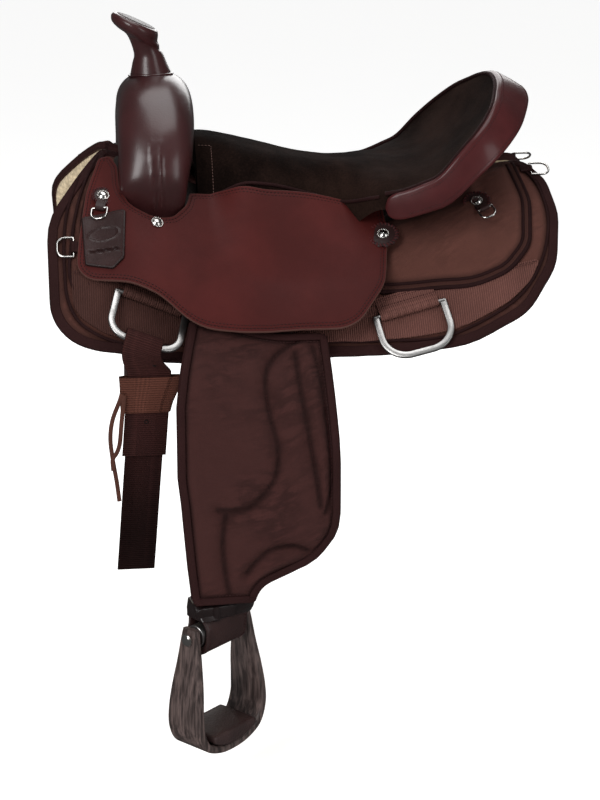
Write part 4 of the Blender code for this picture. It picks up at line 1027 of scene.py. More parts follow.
# Steel hardware hung on its joints
hardware = {
    # which: (width, height, corner radius)
    "rings": {"front": (0.096, 0.069, 0.028), "rear": (0.096, 0.066, 0.046)},
    "ringPlaces": {"front": (-0.208, 0.268), "rear": (0.1165, 0.236)},
    "ringBand": 0.0086,
    "ringPlate": 0.0040,
    "ringBar": 0.0030,
    # which: (width, reach)
    "dees": {
        "front": (0.020, 0.017), "rear": (0.020, 0.017), "breast": (0.028, 0.020), "back": (0.022, 0.024),
    },
    "deeWire": 0.0015,
    "edgePlaces": {"breast": (-0.2995, 0.208, -1), "back": (0.2990, 0.054, 1)},
    # which: (along, down, rosette radius)
    "rosettes": {"front": (-0.2615, 0.1345, 0.0140), "rear": (0.2160, 0.115, 0.0175)},
    # (piece, node, along, down, rosette radius)
    "heads": (
        ("forkScrew", "fork_screw", -0.196, 0.168, 0.0),
        ("cantleRosette", "cantle_rosette", 0.090, 0.137, 0.0195),
    ),
    "domeRadius": 0.0078,
    # (height, share of the radius)
    "dome": (
        (-0.0012, 0.96), (0.0, 1.0), (0.0007, 1.02), (0.0013, 0.95), (0.0010, 0.84), (0.0018, 0.74),
        (0.0029, 0.58),
        (0.0036, 0.36), (0.0039, 0.12),
    ),
    "disc": (
        (-0.0010, 0.95), (0.0006, 1.0), (0.0020, 0.99), (0.0029, 0.93), (0.0024, 0.80), (0.0028, 0.70),
        (0.0028, 0.30),
    ),
    "discTop": 0.0030,
    "scallops": (12, 0.055),
    "beads": 20,
    "bead": ((-0.0004, 0.0007), (0.0001, 0.00085), (0.0005, 0.0006), (0.0007, 0.0002)),
    # (share of the radius, turn, height) along one lace
    "laces": 24,
    "lace": ((1.005, -0.05, 0.0006), (0.985, -0.02, 0.0030), (0.90, 0.03, 0.0036), (0.79, 0.06, 0.0024)),
    # from the bar up to each row of stitches
    "chapeRows": (-0.0265, -0.0235, -0.0155),
    "chapeRibs": 45,
}


def middleOf(node):
    mesh = nodes[node].data
    return sum((v.co for v in mesh.vertices), Vector()) / len(mesh.vertices)


def hungFrame(jointName, node, side):
    joint = joints[jointName]
    pivot = Vector(joint["pos_m"])
    along = Vector(joint["axis"]).normalized()
    down = middleOf(node) - pivot
    down = (down - along * down.dot(along)).normalized()
    out = along.cross(down)
    return frameFrom(pivot, along, down, -out if out.y * side + out.z < 0 else out)


def wireIn(matrix, outline, profile, closed=False):
    # a profile carried along a flat line of a frame
    points = placed(matrix, np.column_stack([outline, np.zeros(len(outline))]))
    return sweep(points, matrix.col[2].to_3d(), profile, closed)


def discIn(matrix, rows, count=48, lobes=0, depth=0.0):
    # rings of (height, radius) about the frame's third axis
    turns = circle(count)
    ring = np.column_stack([np.cos(turns), np.sin(turns)]) * (1 + depth * np.cos(turns * lobes))[:, None]
    return loft([placed(matrix, np.column_stack([ring * radius, np.full(count, z)])) for z, radius in rows])


def foldRound(across, up, turn, angles, toward=1):
    # the section of a strip where it folds round a bar
    angles = np.radians(np.arange(*angles))
    return [(across + toward * math.cos(a) * turn, up + math.sin(a) * turn) for a in angles]


def roundedBand(width, thick, bevel):
    half, high = width / 2, thick / 2
    quarter = [(half - bevel, high), (half - bevel * 0.35, high - bevel * 0.3), (half, high - bevel)]
    right = quarter + [(x, -y) for x, y in quarter[::-1]]
    return right + [(-x, -y) for x, y in right]


def buildRing(which, label, side):
    width, height, radius = hardware["rings"][which]
    name, node = f"{prefix[label]}_{which}_ring", f"{which}_ring_{label}"
    matrix = hungFrame(name + "_swing", node, side)
    band, bar = hardware["ringBand"], hardware["ringBar"]
    half, low, bend = (width - band) / 2, height - band / 2, radius - band / 2
    outline = rounded(((-half, -0.001, 0.0), (-half, low, bend), (half, low, bend), (half, -0.001, 0.0)), 5.0)
    line = spaced(outline[outline[:, 1] > -0.002], 0.0022)
    barReach = width / 2 - 0.002
    barLine = np.column_stack([np.linspace(-barReach, barReach, 6), np.zeros(6)])
    parts = [
        wireIn(matrix, line, roundedBand(band, hardware["ringPlate"], 0.0011)),
        wireIn(matrix, barLine, oval(2 * bar, 2 * bar, 16)),
    ]
    addPiece(f"{which}RingSteel_{label}", parts, "steel", [node], name, sharp=50)
    flat = frameOn(side, *hardware["ringPlaces"][which], 0.0)
    buildChape(f"{which}Chape_{label}", flat, flat.inverted() @ matrix.translation, width / 2 - 0.0105)


def buildChape(name, flat, bar, half):
    # webbing folded round the ring's bar and sewn down above it
    low = layers["gap"] + 0.0020
    outline = [(bar.y - 0.030, low), (bar.y - 0.030, low + 0.0020), (bar.y - 0.0135, low + 0.0032)]
    outline += foldRound(bar.y, bar.z, 0.0056, (118.0, -95.0, -12.0))
    outline = np.array(outline + [(bar.y - 0.004, low)])
    swell = unit(outline - outline.mean(0))
    rings, last = [], hardware["chapeRibs"] - 1
    for k in range(last + 1):
        rib = 0.0003 * math.cos(math.pi * k) - (0.0010 if k in (0, last) else 0.0)
        across = np.full(len(outline), bar.x - half + 2 * half * k / last)
        rings.append(placed(flat, np.column_stack([across, outline + swell * rib])))
    addPiece(name, [loft(rings)], "rigging")
    rows = []
    for y in hardware["chapeRows"]:
        height = low + 0.0024 + 0.0012 * (y > -0.02)
        line = [(bar.x + x, bar.y + y, height) for x in np.linspace(-half + 0.002, half - 0.002, 15)]
        rows.append((placed(flat, line), flat.col[2].to_3d()))
    sew(name + "_stitches", rows)


def buildRosette(name, matrix, replaces, radius=0.0, extra=()):
    # a scalloped leather disc with a laced edge under a domed silver head, or the head alone
    lobes, depth = hardware["scallops"]
    base, dome = hardware["discTop"] if radius else 0.0, hardware["domeRadius"]
    if radius:
        disc = discIn(matrix, [(z, radius * share) for z, share in hardware["disc"]], 120, lobes, depth)
        addPiece(name, [disc, *extra], "dark", replaces)
        laces = []
        for turn in circle(hardware["laces"]) + math.pi / hardware["laces"]:
            wave = radius * (1 + depth * math.cos(turn * lobes))
            line = [
                (math.cos(turn + skew) * wave * share, math.sin(turn + skew) * wave * share, z)
                for share, skew, z in hardware["lace"]
            ]
            line = curved(placed(matrix, line), 3)
            laces.append(sweep(line, matrix.col[2].to_3d(), oval(0.0017, 0.0012, 6)))
        addPiece(name + "_lacing", laces, "thread")
    head = [discIn(matrix, [(base + z, dome * share) for z, share in hardware["dome"]])]
    for turn in circle(hardware["beads"]):
        spot = (math.cos(turn) * dome * 0.915, math.sin(turn) * dome * 0.915, base + 0.0012)
        head.append(discIn(matrix @ Matrix.Translation(spot), hardware["bead"], 8))
    addPiece(name + "_head", head, "silver", () if radius else replaces, sharp=60)


def buildDee(which, label, side):
    # the steel loop, and the frame of its joint
    name, node = f"{prefix[label]}_{which}_dee", f"{which}_dee_{label}"
    matrix = hungFrame(name + "_swing", node, side)
    width, reach = hardware["dees"][which]
    half, wire = width / 2, 2 * hardware["deeWire"]
    corners = ((-half, 0, 0.0012), (-half, reach, half * 0.9), (half, reach, half * 0.9), (half, 0, 0.0012))
    loop = wireIn(matrix, spaced(rounded(corners, 8.0), 0.0012, True), oval(wire, wire, 12), True)
    addPiece(f"{which}DeeSteel_{label}", [loop], "silver", [node], name, sharp=0)
    return matrix


def buildHungDee(which, label, side):
    x, s, radius = hardware["rosettes"][which]
    lift = jockeyOver(x, s) if which == "front" else rearPanelTop(x, s) + rearPanel["crown"] * 0.5
    place = frameOn(side, x, s, float(lift))
    # the fold of leather round the dee is turned toward its bar
    pivot = buildDee(which, label, side).translation
    bar = place.inverted() @ pivot
    aimed = place @ Matrix.Rotation(-math.atan2(bar.x, bar.y), 4, "Z")
    bar = aimed.inverted() @ pivot
    outline = [(0.004, 0.0024), (0.006, 0.0034)] + foldRound(bar.y, bar.z, 0.0034, (100.0, -200.0, -25.0))
    outline += [(bar.y - 0.004, min(0.0002, bar.z - 0.0032)), (0.004, 0.0002)]
    stations = (-0.0058, -0.0052, 0.0, 0.0052, 0.0058)
    tab = loft([placed(aimed, [(across, y, z) for y, z in outline]) for across in stations])
    buildRosette(f"{which}Rosette_{label}", place, [f"{which}_rosette_{label}"], radius, [tab])


def buildEdgeDee(which, label, side):
    x, s, toward = hardware["edgePlaces"][which]
    half = hardware["dees"][which][0] / 2 - 0.0065
    flat = frameOn(side, x, s, 0.0)
    bar = flat.inverted() @ buildDee(which, label, side).translation
    outline = [(bar.x - toward * back, z) for back, z in ((0.013, 0.0006), (0.013, 0.0024), (0.006, 0.0036))]
    outline += foldRound(bar.x, bar.z, 0.0033, (110.0, -100.0, -20.0), toward)
    outline.append((bar.x - toward * 0.003, 0.0))
    stations = (-half, -half * 0.9, 0.0, half * 0.9, half)
    tab = loft([placed(flat, [(u, bar.y + across, w) for u, w in outline]) for across in stations])
    addPiece(f"{which}Tab_{label}", [tab], "binding")


def buildHardware():
    for label, side in sides.items():
        for which in hardware["rings"]:
            buildRing(which, label, side)
        for which in hardware["rosettes"]:
            buildHungDee(which, label, side)
        for which in hardware["edgePlaces"]:
            buildEdgeDee(which, label, side)
        for name, node, x, s, radius in hardware["heads"]:
            place = frameOn(side, x, s, float(jockeyOver(x, s)))
            buildRosette(f"{name}_{label}", place, [f"{node}_{label}"], radius)


buildHardware()
print("hardware built")

keeper = {
    "corners": (
        (-0.289, 0.168, 0.004), (-0.234, 0.158, 0.004), (-0.238, 0.229, 0.006), (-0.252, 0.244, 0.004),
        (-0.286, 0.238, 0.004),
    ),
    "cell": 0.0013,
    "thickness": 0.0032,
    # (along, down, width, height) of the pressed oval and of the slot, which both slant
    "oval": (-0.2625, 0.195, 0.0185, 0.0100),
    "slot": (-0.262, 0.219, 0.034, 0.0036),
    "slant": -0.12,
    "stitchRow": 0.0038,
    "stitch": {"pitch": 0.0034, "length": 0.0026, "thread": 0.0006},
}


def buildKeeper():
    side = sides["left"]
    loop = spaced(rounded(keeper["corners"]), 0.0025, True)
    flat = flatPanel(loop, keeper["cell"], keeper["cell"], (0.0006, 0.0018))
    x, s = flat["points"].T

    def slanted(midX, midS, wide, high):
        return (x - midX) / wide, (s - midS - (x - midX) * keeper["slant"]) / high

    pressed = np.hypot(*slanted(*keeper["oval"]))
    rim = 0.0011 * np.exp(-((pressed - 1.0) / 0.07) ** 2) - 0.0007 * smoothStep((0.95 - pressed) / 0.1)
    slot = 2 * np.max(np.abs(slanted(*keeper["slot"])), axis=0)
    cut = -0.0026 * smoothStep((1.15 - slot) / 0.3) + 0.0005 * np.exp(-((slot - 1.5) / 0.25) ** 2)
    base = jockeyOver(x, s) + layers["gap"]
    grain = wobble(flat["points"], 60.0, 4.0) * 0.0002
    over = base + keeper["thickness"] + rim + cut - edgeDrop(flat["edge"], 0.0016) + grain
    layPanel("latigoKeeper", side, flat, base, over, "dark", ["latigo_keeper"])
    height = keeper["thickness"] + layers["gap"]
    row = lineOn(side, closedUp(inset(loop, keeper["stitchRow"])), lambda x, s: jockeyOver(x, s) + height)
    sew("latigoKeeper_stitches", [row], look=keeper["stitch"])


buildKeeper()
print("latigo keeper built")

# Swell: leather over the tree's fork. Each station is (out, up, middle along, half thickness, half length)
swell = {
    "path": (
        (0.0, 0.133, -0.191, 0.0440, 0.0455), (0.036, 0.129, -0.191, 0.0430, 0.0455),
        (0.070, 0.114, -0.192, 0.0385, 0.0450), (0.100, 0.088, -0.194, 0.0330, 0.0430),
        (0.124, 0.050, -0.1985, 0.0250, 0.0390),
    ),
    "foot": (-0.199, 0.1245, 0.0370, 0.0180),
    "footRise": 0.016,
    "power": 2.5,
    "corners": 112,
    "steps": 9,
    "leather": 0.0036,
    # x of the two sewn pleats, their bottom and top height, and how far out they start
    "pleats": ((-0.1985, -0.1890), 0.020, 0.118),
    "pleatOut": 0.085,
    # (height, width) of a pleat's ridge and of the groove between, (height, length) of its puckers
    "ridge": (0.0020, 0.0026),
    "groove": (0.0016, 0.0018),
    "pucker": (0.0007, 0.0075),
}


def mirrored(points):
    return np.asarray(points) * (1, -1, 1)


def swellRings():
    turns, grow = circle(swell["corners"]), swell["leather"]
    u, v = squared(np.cos(turns), swell["power"]), squared(np.sin(turns), swell["power"])
    path, right = swell["path"], []
    for i, (y, z, x, thick, length) in enumerate(path):
        ahead = path[min(i + 1, len(path) - 1)]
        behind = path[i - 1] if i else (-path[1][0], path[1][1])
        out = Vector((0, behind[1] - ahead[1], ahead[0] - behind[0])).normalized()
        ring = np.column_stack([x + u * length, y + out.y * v * thick, z + out.z * v * thick])
        lift = 0.0
        if y > 0.06:
            lift = np.maximum(
                heightAbove(ring[:, 0], ring[:, 1], layers["bar"]) + swell["footRise"] - ring[:, 2], 0,
            )
        ring += np.column_stack([u * grow, out.y * v * grow, lift + out.z * v * grow])
        right.append(ring)
    x, s, length, thick = swell["foot"]
    foot = np.column_stack([u * (length + grow), v * (thick + grow) - 0.001, np.full(len(u), layers["gap"])])
    right.append(placed(frameOn(1, x, s + 0.001, layers["bar"]), foot))
    rings = np.array([mirrored(ring) for ring in right[:0:-1]] + right)
    return curved(rings.reshape(len(rings), -1), swell["steps"]).reshape(-1, swell["corners"], 3)


def buildSwell():
    rings = swellRings()
    pleats, low, high = swell["pleats"]
    middle = sum(pleats) / 2
    x, y, z = rings[..., 0], rings[..., 1], rings[..., 2]
    outward = unit(rings - rings.mean(1, keepdims=True))
    reach = smoothStep((z - low) / 0.015) * smoothStep((high - z) / 0.020) * (np.abs(y) > swell["pleatOut"])
    (ridge, ridgeWidth), (groove, grooveWidth) = swell["ridge"], swell["groove"]
    pucker, pitch = swell["pucker"]
    relief = pucker * np.sin(z * 2 * math.pi / pitch) * np.exp(-((x - middle) / 0.009) ** 2)
    relief -= groove * np.exp(-((x - middle) / grooveWidth) ** 2)
    for pleat in pleats:
        relief += ridge * np.exp(-((x - pleat) / ridgeWidth) ** 2)
    waves = (wobble(rings.reshape(-1, 3), 22.0, 31.0) * 0.0006).reshape(x.shape)
    rings = rings + outward * (relief * reach + waves)[..., None]
    addPiece("swellLeather", [loft(rings)], "gloss", ["swell_cover"], sharp=0)
    for label, side in sides.items():
        rows = []
        for pleat in pleats:
            line = []
            for height in np.linspace(low + 0.004, high - 0.004, 30)[::3]:
                near = rings[(np.abs(z - height) < 0.004) & (y * side > swell["pleatOut"])]
                here = near[np.abs(near[:, 0] - pleat).argmin()]
                line.append((pleat, here[1] + side * 0.0012, height))
            rows.append((curved(line, 4), (0.0, side, 0.25)))
        sew(f"swellStitches_{label}", rows)


buildSwell()
print("swell built")

horn = {
    # (along, up, half length, half width) of the neck; (back, above, half length, half width) of the cap
    "neck": (
        (-0.1935, 0.1640, 0.0300, 0.0300), (-0.1942, 0.1796, 0.0261, 0.0262),
        (-0.1955, 0.1920, 0.0222, 0.0225),
        (-0.1970, 0.2050, 0.0184, 0.0195),
    ),
    "cap": (
        (0.0190, -0.0125, 0.0225, 0.0215), (0.0100, -0.0080, 0.0290, 0.0285),
        (0.0035, -0.0040, 0.0315, 0.0335),
        (0.0010, 0.0010, 0.0325, 0.0350), (0.0, 0.0050, 0.0318, 0.0342), (0.0, 0.0085, 0.0280, 0.0300),
        (0.0, 0.0094, 0.0150, 0.0160), (0.0, 0.0096, 0.0020, 0.0020),
    ),
    # the smooth disc on the cap: its half length and half width, then (above, share)
    "top": (0.0278, 0.0300, ((0.0086, 0.955), (0.0094, 0.93), (0.0099, 0.84), (0.0101, 0.5), (0.0102, 0.02))),
    "middle": (-0.215, 0.0, 0.2375),
    "tilt": math.radians(24),
    "corners": 64,
    "collar": (-0.1942, 0.0272, 0.0275),
}


def buildHorn():
    turns = circle(horn["corners"])
    level = np.column_stack([np.cos(turns), np.sin(turns), np.zeros(len(turns))])
    middle = np.array(horn["middle"])
    lean = np.array(Matrix.Rotation(horn["tilt"], 3, "Y"))
    rings = [(x, 0, z) + level * (length, width, 0) for x, z, length, width in horn["neck"]]
    for back, above, length, width in horn["cap"]:
        rings.append(middle + ((back, 0, above) + level * (length, width, 0)) @ lean.T)
    rings = curved(np.array(rings).reshape(len(rings), -1), 6).reshape(-1, len(turns), 3)
    addPiece("hornLeather", [loft(rings)], "gloss", ["horn_cover"], sharp=0)
    length, width, rows = horn["top"]
    top = [middle + ((0, 0, z) + level * (length * share, width * share, 0)) @ lean.T for z, share in rows]
    addPiece("hornCapTop", [loft(top)], "strap", sharp=0)
    x, length, width = horn["collar"]
    swellTop = swellRings().reshape(-1, 3)
    swellTop = swellTop[swellTop[:, 2] > 0.13]
    line = (x, 0, 0) + level * (length, width, 0)
    for place in line:
        near = swellTop[np.hypot(*(swellTop - place)[:, :2].T) < 0.0045]
        place[2] = near[:, 2].max()
    collar = sweep(line, (0.0, 0.0, 1.0), oval(0.0044, 0.0034, 10), True)
    addPiece("hornCollar", [collar], "gloss")


buildHorn()
print("horn built")

# Seat and cantle. The rim runs from the end of an arm to the cantle's top as (out, along, up)
seat = {
    "rim": (
        (0.150, 0.0838, 0.0420), (0.153, 0.090, 0.043), (0.158, 0.111, 0.047), (0.162, 0.135, 0.056),
        (0.163, 0.157, 0.067), (0.158, 0.183, 0.095), (0.145, 0.208, 0.120), (0.118, 0.228, 0.141),
        (0.083, 0.240, 0.154), (0.045, 0.249, 0.165), (0.0, 0.252, 0.170),
    ),
    "edge": (
        (-0.133, 0.032), (-0.110, 0.043), (-0.085, 0.054), (-0.055, 0.053), (0.0, 0.0395), (0.055, 0.023),
        (0.083, 0.019),
    ),
    "half": (
        (-0.133, 0.0960), (-0.110, 0.0985), (-0.085, 0.1040), (-0.055, 0.1040), (0.0, 0.1015),
        (0.055, 0.0950),
        (0.083, 0.0915),
    ),
    "crown": (
        (-0.133, 0.100), (-0.125, 0.099), (-0.066, 0.086), (0.0, 0.069), (0.067, 0.063), (0.091, 0.062),
        (0.130, 0.062), (0.157, 0.068), (0.183, 0.082), (0.208, 0.105), (0.228, 0.129), (0.240, 0.149),
        (0.249, 0.164), (0.252, 0.170),
    ),
    "floor": 0.0161,
    "dishSlope": math.tan(math.radians(47)),
    "dishPlane": (0.262, 0.149),
    "cushion": 0.018,
    "puff": 0.0030,
    "front": -0.1415,
    # where the sides start to spread to the cantle's arms, and over what length
    "flare": (0.028, 0.058),
    # the front patch: its rear edge and its upper edge as a share of the half width
    "patch": (-0.1180, 0.52),
    "patchRise": 0.0012,
    # how square the top is across, between the jockeys and out at the cantle's arms
    "squareness": (3.2, 2.4),
    "edgeRound": (0.05, 0.0022),
    "tuck": 0.985,
    "depth": 0.045,
    "dishStart": 0.151,
    "welt": 0.0046,
}


def seatShares():
    inner = np.linspace(-0.92, 0.92, 41)
    ends = np.array([0.95, 0.975, 0.99, 1.0])
    return np.concatenate([-ends[::-1], inner, ends])


def seatRing(x, half, edge, crown, wing):
    # wing: 0 for the seat between the jockeys, 1 where it spreads out to the cantle
    shares = seatShares()
    y, along = shares * half, np.full(len(shares), x)
    (narrow, wide), (rim, drop), depth = seat["squareness"], seat["edgeRound"], seat["depth"]
    top = crown + (edge - crown) * np.abs(shares) ** (narrow + (wide - narrow) * wing)
    top = top - drop * np.clip((np.abs(shares) - 1 + rim) / rim, 0, 1) ** 2
    floor = heightAbove(along, y * seat["tuck"], seat["floor"])
    if x > seat["dishStart"]:
        floor = seat["dishPlane"][1] - seat["dishSlope"] * (seat["dishPlane"][0] - along)
    low = np.maximum(floor, top - depth + (depth - seat["cushion"]) * wing)
    under = np.column_stack([along, y * seat["tuck"], np.minimum(low, top - 0.004)])[::-1]
    return np.vstack([np.column_stack([along, y, top]), under])


def buildSeat():
    rings = []
    armOut, armAlong, armUp = seat["rim"][0]
    for x in np.linspace(seat["front"], armAlong - 0.0005, 46):
        half, edge, crown = (float(smoothTable(seat[key], x)) for key in ("half", "edge", "crown"))
        share = float(smoothStep((x - seat["flare"][0]) / seat["flare"][1]))
        rings.append(seatRing(x, half + (armOut - half) * share, edge + (armUp - edge) * share, crown, share))
    front = len(rings)
    for y, x, z in curved(seat["rim"], 5)[:-1]:
        rings.append(seatRing(x, max(y, 0.004), z, float(smoothTable(seat["crown"], x)), 1.0))
    rings, shares = np.array(rings), np.abs(seatShares())
    count = len(shares)
    top = rings[:, :count]
    flat = top.reshape(-1, 3)
    dents = (wobble(flat, 16.0, 41.0) * 0.0016 + wobble(flat, 45.0, 42.0) * 0.0006).reshape(len(rings), count)
    quilt = seat["puff"] * (1 - np.exp(-((1 - shares) / 0.10) ** 1.3))
    patchX, patchShare = seat["patch"]
    patch = smoothStep((patchX - top[..., 0]) / 0.002) * smoothStep((shares - patchShare) / 0.02)
    patch *= seat["patchRise"]
    top[..., 2] += (dents + quilt - seat["puff"] * 0.5) * smoothStep((1 - shares) / 0.08) + patch
    piece = addPiece("seatSuede", [loft(rings)], "suede", ["seat"], sharp=60)
    row = int((rings[:, 0, 0] < patchX - 0.003).sum()) - 1
    turn = int(np.abs(shares[count // 2:] - patchShare - 0.04).argmin())
    rows, welt = [], []
    for side in sides.values():
        column, last = count // 2 + side * turn, count - 1 if side > 0 else 0
        line = np.vstack([rings[1:row + 1, column], rings[row, column:last:side]])
        rows.append((spaced(curved(line, 3), 0.0015) + (0, side * 0.0004, 0.0006), (0.0, side * 0.5, 1.0)))
        edge = rings[1:front, last] + (0, side * 0.0005, -0.0008)
        welt.append(sweep(edge, (0.0, side, 0.6), oval(seat["welt"], seat["welt"])))
    sew("seatPatchStitches", rows, "paleThread")
    addPiece("seatWelt", welt, "piping")


def rimPath(steps):
    half = np.array([(x, -y, z) for y, x, z in seat["rim"][1:]])
    whole = np.vstack([half, mirrored(half[-2::-1])])
    return curved(whole, steps)


cantle = {
    "thickness": 0.007,
    "bulge": 0.0016,
    "round": 0.0028,
    "steps": 7,
    "rollRadius": 0.0027,
    "stitchRow": 0.008,
    "stitch": {"pitch": 0.0048, "length": 0.0036, "thread": 0.0008},
    "endRadius": 0.017,
    "rearBase": 0.185,
    # half the width of the back, and how far out its foot changes from the bars to the rear panels
    "backHalf": 0.128,
    "footChange": (0.086, 0.012),
}


def bandSection(length):
    # rounded oblong as (across its thickness, down), bulging on its outer face
    thick, r = cantle["thickness"], cantle["round"]
    outline = rounded(((0, 0, 0.001), (thick, 0, r), (thick, length, r), (0, length, 0.001)), 18.0)
    outline = spaced(outline, length / 14, True)
    down = np.clip(outline[:, 1] / length, 0, 1)
    outline[:, 0] += cantle["bulge"] * np.sin(math.pi * down) * (outline[:, 0] > thick * 0.5)
    return outline


def bandFrames():
    path = rimPath(cantle["steps"])
    count = len(path)
    share = 1 - np.abs(np.arange(count) - (count - 1) / 2) / ((count - 1) / 2)
    side = np.clip(path[:, 1] / 0.03, -1, 1)
    lift = smoothStep(share)
    flare = side * 0.011 * np.sin(math.pi * np.minimum(share * 1.1, 1.0))
    down = np.column_stack(
        [0.002 + 0.042 * lift, flare, -0.033 - 0.004 * np.sin(math.pi * share) + 0.009 * lift]
    )
    out = unit(np.cross(np.gradient(path, axis=0), down))
    guide = np.column_stack([np.full(count, 0.3), side, np.where(np.abs(side) > 0.5, 0.2, 1.0)])
    return path, out * np.sign((out * guide).sum(1))[:, None], down


def buildCantle():
    path, out, down = bandFrames()
    length = np.linalg.norm(down, axis=1, keepdims=True)
    way, mean, thick = down / length, float(length.mean()), cantle["thickness"]
    across, fall = bandSection(mean).T
    # the arms' ends are rounded
    run = lengthsAlong(path)
    short = np.maximum(1 - np.minimum(run, run[-1] - run) / cantle["endRadius"], 0.0)
    full = np.sqrt(1 - short ** 2)[:, None]
    proud = thick / 2 + (across - thick / 2) * (0.4 + 0.6 * full) + 2 * layers["gap"]
    fall = (mean / 2 + (fall - mean / 2) * (0.15 + 0.85 * full)) * length / mean
    rings = path[:, None] + out[:, None] * proud[..., None] + way[:, None] * fall[..., None]
    waves = wobble(rings.reshape(-1, 3), 30.0, 51.0) * 0.0004
    rings += out[:, None] * waves.reshape(len(rings), -1, 1)
    addPiece("cantleBand", [loft(rings)], "band", ["cantle_back"], sharp=0)
    roll = oval(2 * cantle["rollRadius"], 2 * cantle["rollRadius"], 12)
    addPiece("cantleRoll", [sweep(path + out * 0.0012 + (0, 0, 0.0004), out, roll)], "piping")
    rows = []
    for reach in (cantle["stitchRow"], length - cantle["stitchRow"] * 0.7):
        bulge = cantle["bulge"] * np.sin(math.pi * np.clip(reach / length, 0, 1))
        line = path + out * (thick + 2 * layers["gap"] + bulge + 0.0002) + way * reach
        rows.append((line[9:-9], out[9:-9]))
    sew("cantleStitches", rows, look=cantle["stitch"])
    buildCantleBack()


def buildCantleBack():
    # leather over the tree's cantle, seen from behind
    outs, alongs, ups = np.array(seat["rim"][5:])[::-1].T
    panelTop = layers["bar"] + layers["gap"] + layers["rearPanel"]
    slope, (planeX, planeZ) = seat["dishSlope"], seat["dishPlane"]
    rearLine = cantle["rearBase"]

    def baseAt(barX, panelX, over):
        bar = heightAbove(barX, 0.0465, layers["bar"])
        return (1 - over) * bar + over * heightAbove(panelX, 0.090, panelTop)

    rings = []
    changeOut, changeLength = cantle["footChange"]
    for y in np.linspace(-cantle["backHalf"], cantle["backHalf"], 53):
        over = smoothStep((abs(y) - changeOut) / changeLength)
        frontBase, rearBase = baseAt(0.155, 0.165, over), baseAt(rearLine, rearLine, over)
        front = planeX - (planeZ - frontBase) / slope
        rear = max(rearLine, front + 0.01)
        rimX, rimZ = np.interp(abs(y), outs, alongs), np.interp(abs(y), outs, ups)
        rollX, rollZ = rimX + 0.026 - 0.05 * abs(y), rimZ - 0.030
        topX = min(rimX - 0.010, planeX - (planeZ - rollZ) / slope - 0.002)
        middle = ((rollX + rear) / 2 - 0.004, (rollZ + rearBase) / 2)
        back = curved([(rollX, rollZ), (rollX - 0.004, rollZ - 0.012), middle, (rear, rearBase)], 6)
        face = [(front, frontBase), (topX, planeZ - slope * (planeX - topX)), *back]
        rings.append([(x, y, z) for x, z in face])
    addPiece("cantleBackLeather", [loft(rings)], "gloss", ["tree_cantle"], sharp=40)


buildSeat()
buildCantle()
print("seat and cantle built")

# Legs. Widths are across the leather's middle line, s runs down it; below the joint it twists
leg = {
    "hinge": (-0.062, 0.205), "forward": {-1: 0.1835, 1: 0.0}, "jointS": 0.50, "boltS": 0.63, "hang": 0.129,
    "yaw": math.radians(44), "height": 0.015, "ply": 0.0035, "gap": 0.0003, "spread": 0.110,
    "twist": (0.050, 0.006), "roller": 0.014, "width": 0.073,
    "fenderUnder": 0.0188, "fenderSpace": 0.004, "fender": 0.007,
}
leg["middle"] = leg["height"] - leg["gap"] / 2
leg["bend"] = leg["roller"] / math.cos(math.pi / 16) + leg["gap"]


def leatherX(side, s):
    return leg["hinge"][0] - leg["forward"][side] * (s - leg["hinge"][1])


def plySpread(height):
    closed = (leg["ply"] + leg["gap"]) / 2
    opened = leg["bend"] + leg["ply"] / 2
    height = np.asarray(height, float)
    aroundRoller = np.where(height > 0, np.sqrt(np.maximum((opened + 0.0003) ** 2 - height ** 2, 0)), opened)
    return np.maximum(
        closed + (opened - closed) * np.maximum(0.0, 1 - height / leg["spread"]) ** 1.2, aroundRoller,
    )


def jointPoint(side):
    return onForm(side, leatherX(side, leg["jointS"]), leg["jointS"], leg["middle"])


def plyCentre(side, height):
    # points midway between the plies at heights above the bolt, with the axes across and outward
    height = np.asarray(height, float)
    bolt = np.array(joints["near_stirrup_swing" if side < 0 else "off_stirrup_swing"]["pos_m"])
    yaw = leg["yaw"] * smoothStep((leg["twist"][0] - height) / (leg["twist"][0] - leg["twist"][1]))
    wide = np.stack([np.cos(yaw), -side * np.sin(yaw), 0 * yaw], -1)
    out = np.stack([np.sin(yaw), side * np.cos(yaw), 0 * yaw], -1)
    return bolt + (jointPoint(side) - bolt) * (height / leg["hang"])[..., None], wide, out


def onLeg(side, u, s, offset):
    # like onForm, with u measured from the leather's middle line; below the joint it hangs and twists
    u, s, offset = np.broadcast_arrays(u, s, offset)
    upper = np.minimum(s, leg["jointS"])
    above = onForm(side, u + leatherX(side, upper), upper, offset)
    height = leg["hang"] * (leg["boltS"] - s) / (leg["boltS"] - leg["jointS"])
    centre, wide, out = plyCentre(side, height)
    blend = np.minimum((s - upper) / 0.05, 1.0)[:, None]
    level = out * (offset - leg["middle"] + plySpread(height) - plySpread(leg["hang"]))[:, None]
    rest = (above - jointPoint(side)) * (0, 1, 1)
    hanging = centre + wide * u[:, None] + level * blend + rest * (1 - blend)
    return np.where((s > leg["jointS"])[:, None], hanging, above)


def legLine(side, line, height):
    # a flat line carried onto the leg, with the normals there
    u, s = line.T
    ahead = onLeg(side, u + 0.0005, s, height) - onLeg(side, u - 0.0005, s, height)
    down = onLeg(side, u, s + 0.0005, height) - onLeg(side, u, s - 0.0005, height)
    normals = unit(np.cross(ahead, down))
    return onLeg(side, u, s, height), normals * np.sign(normals[:, 1] * side + 1e-9)[:, None]


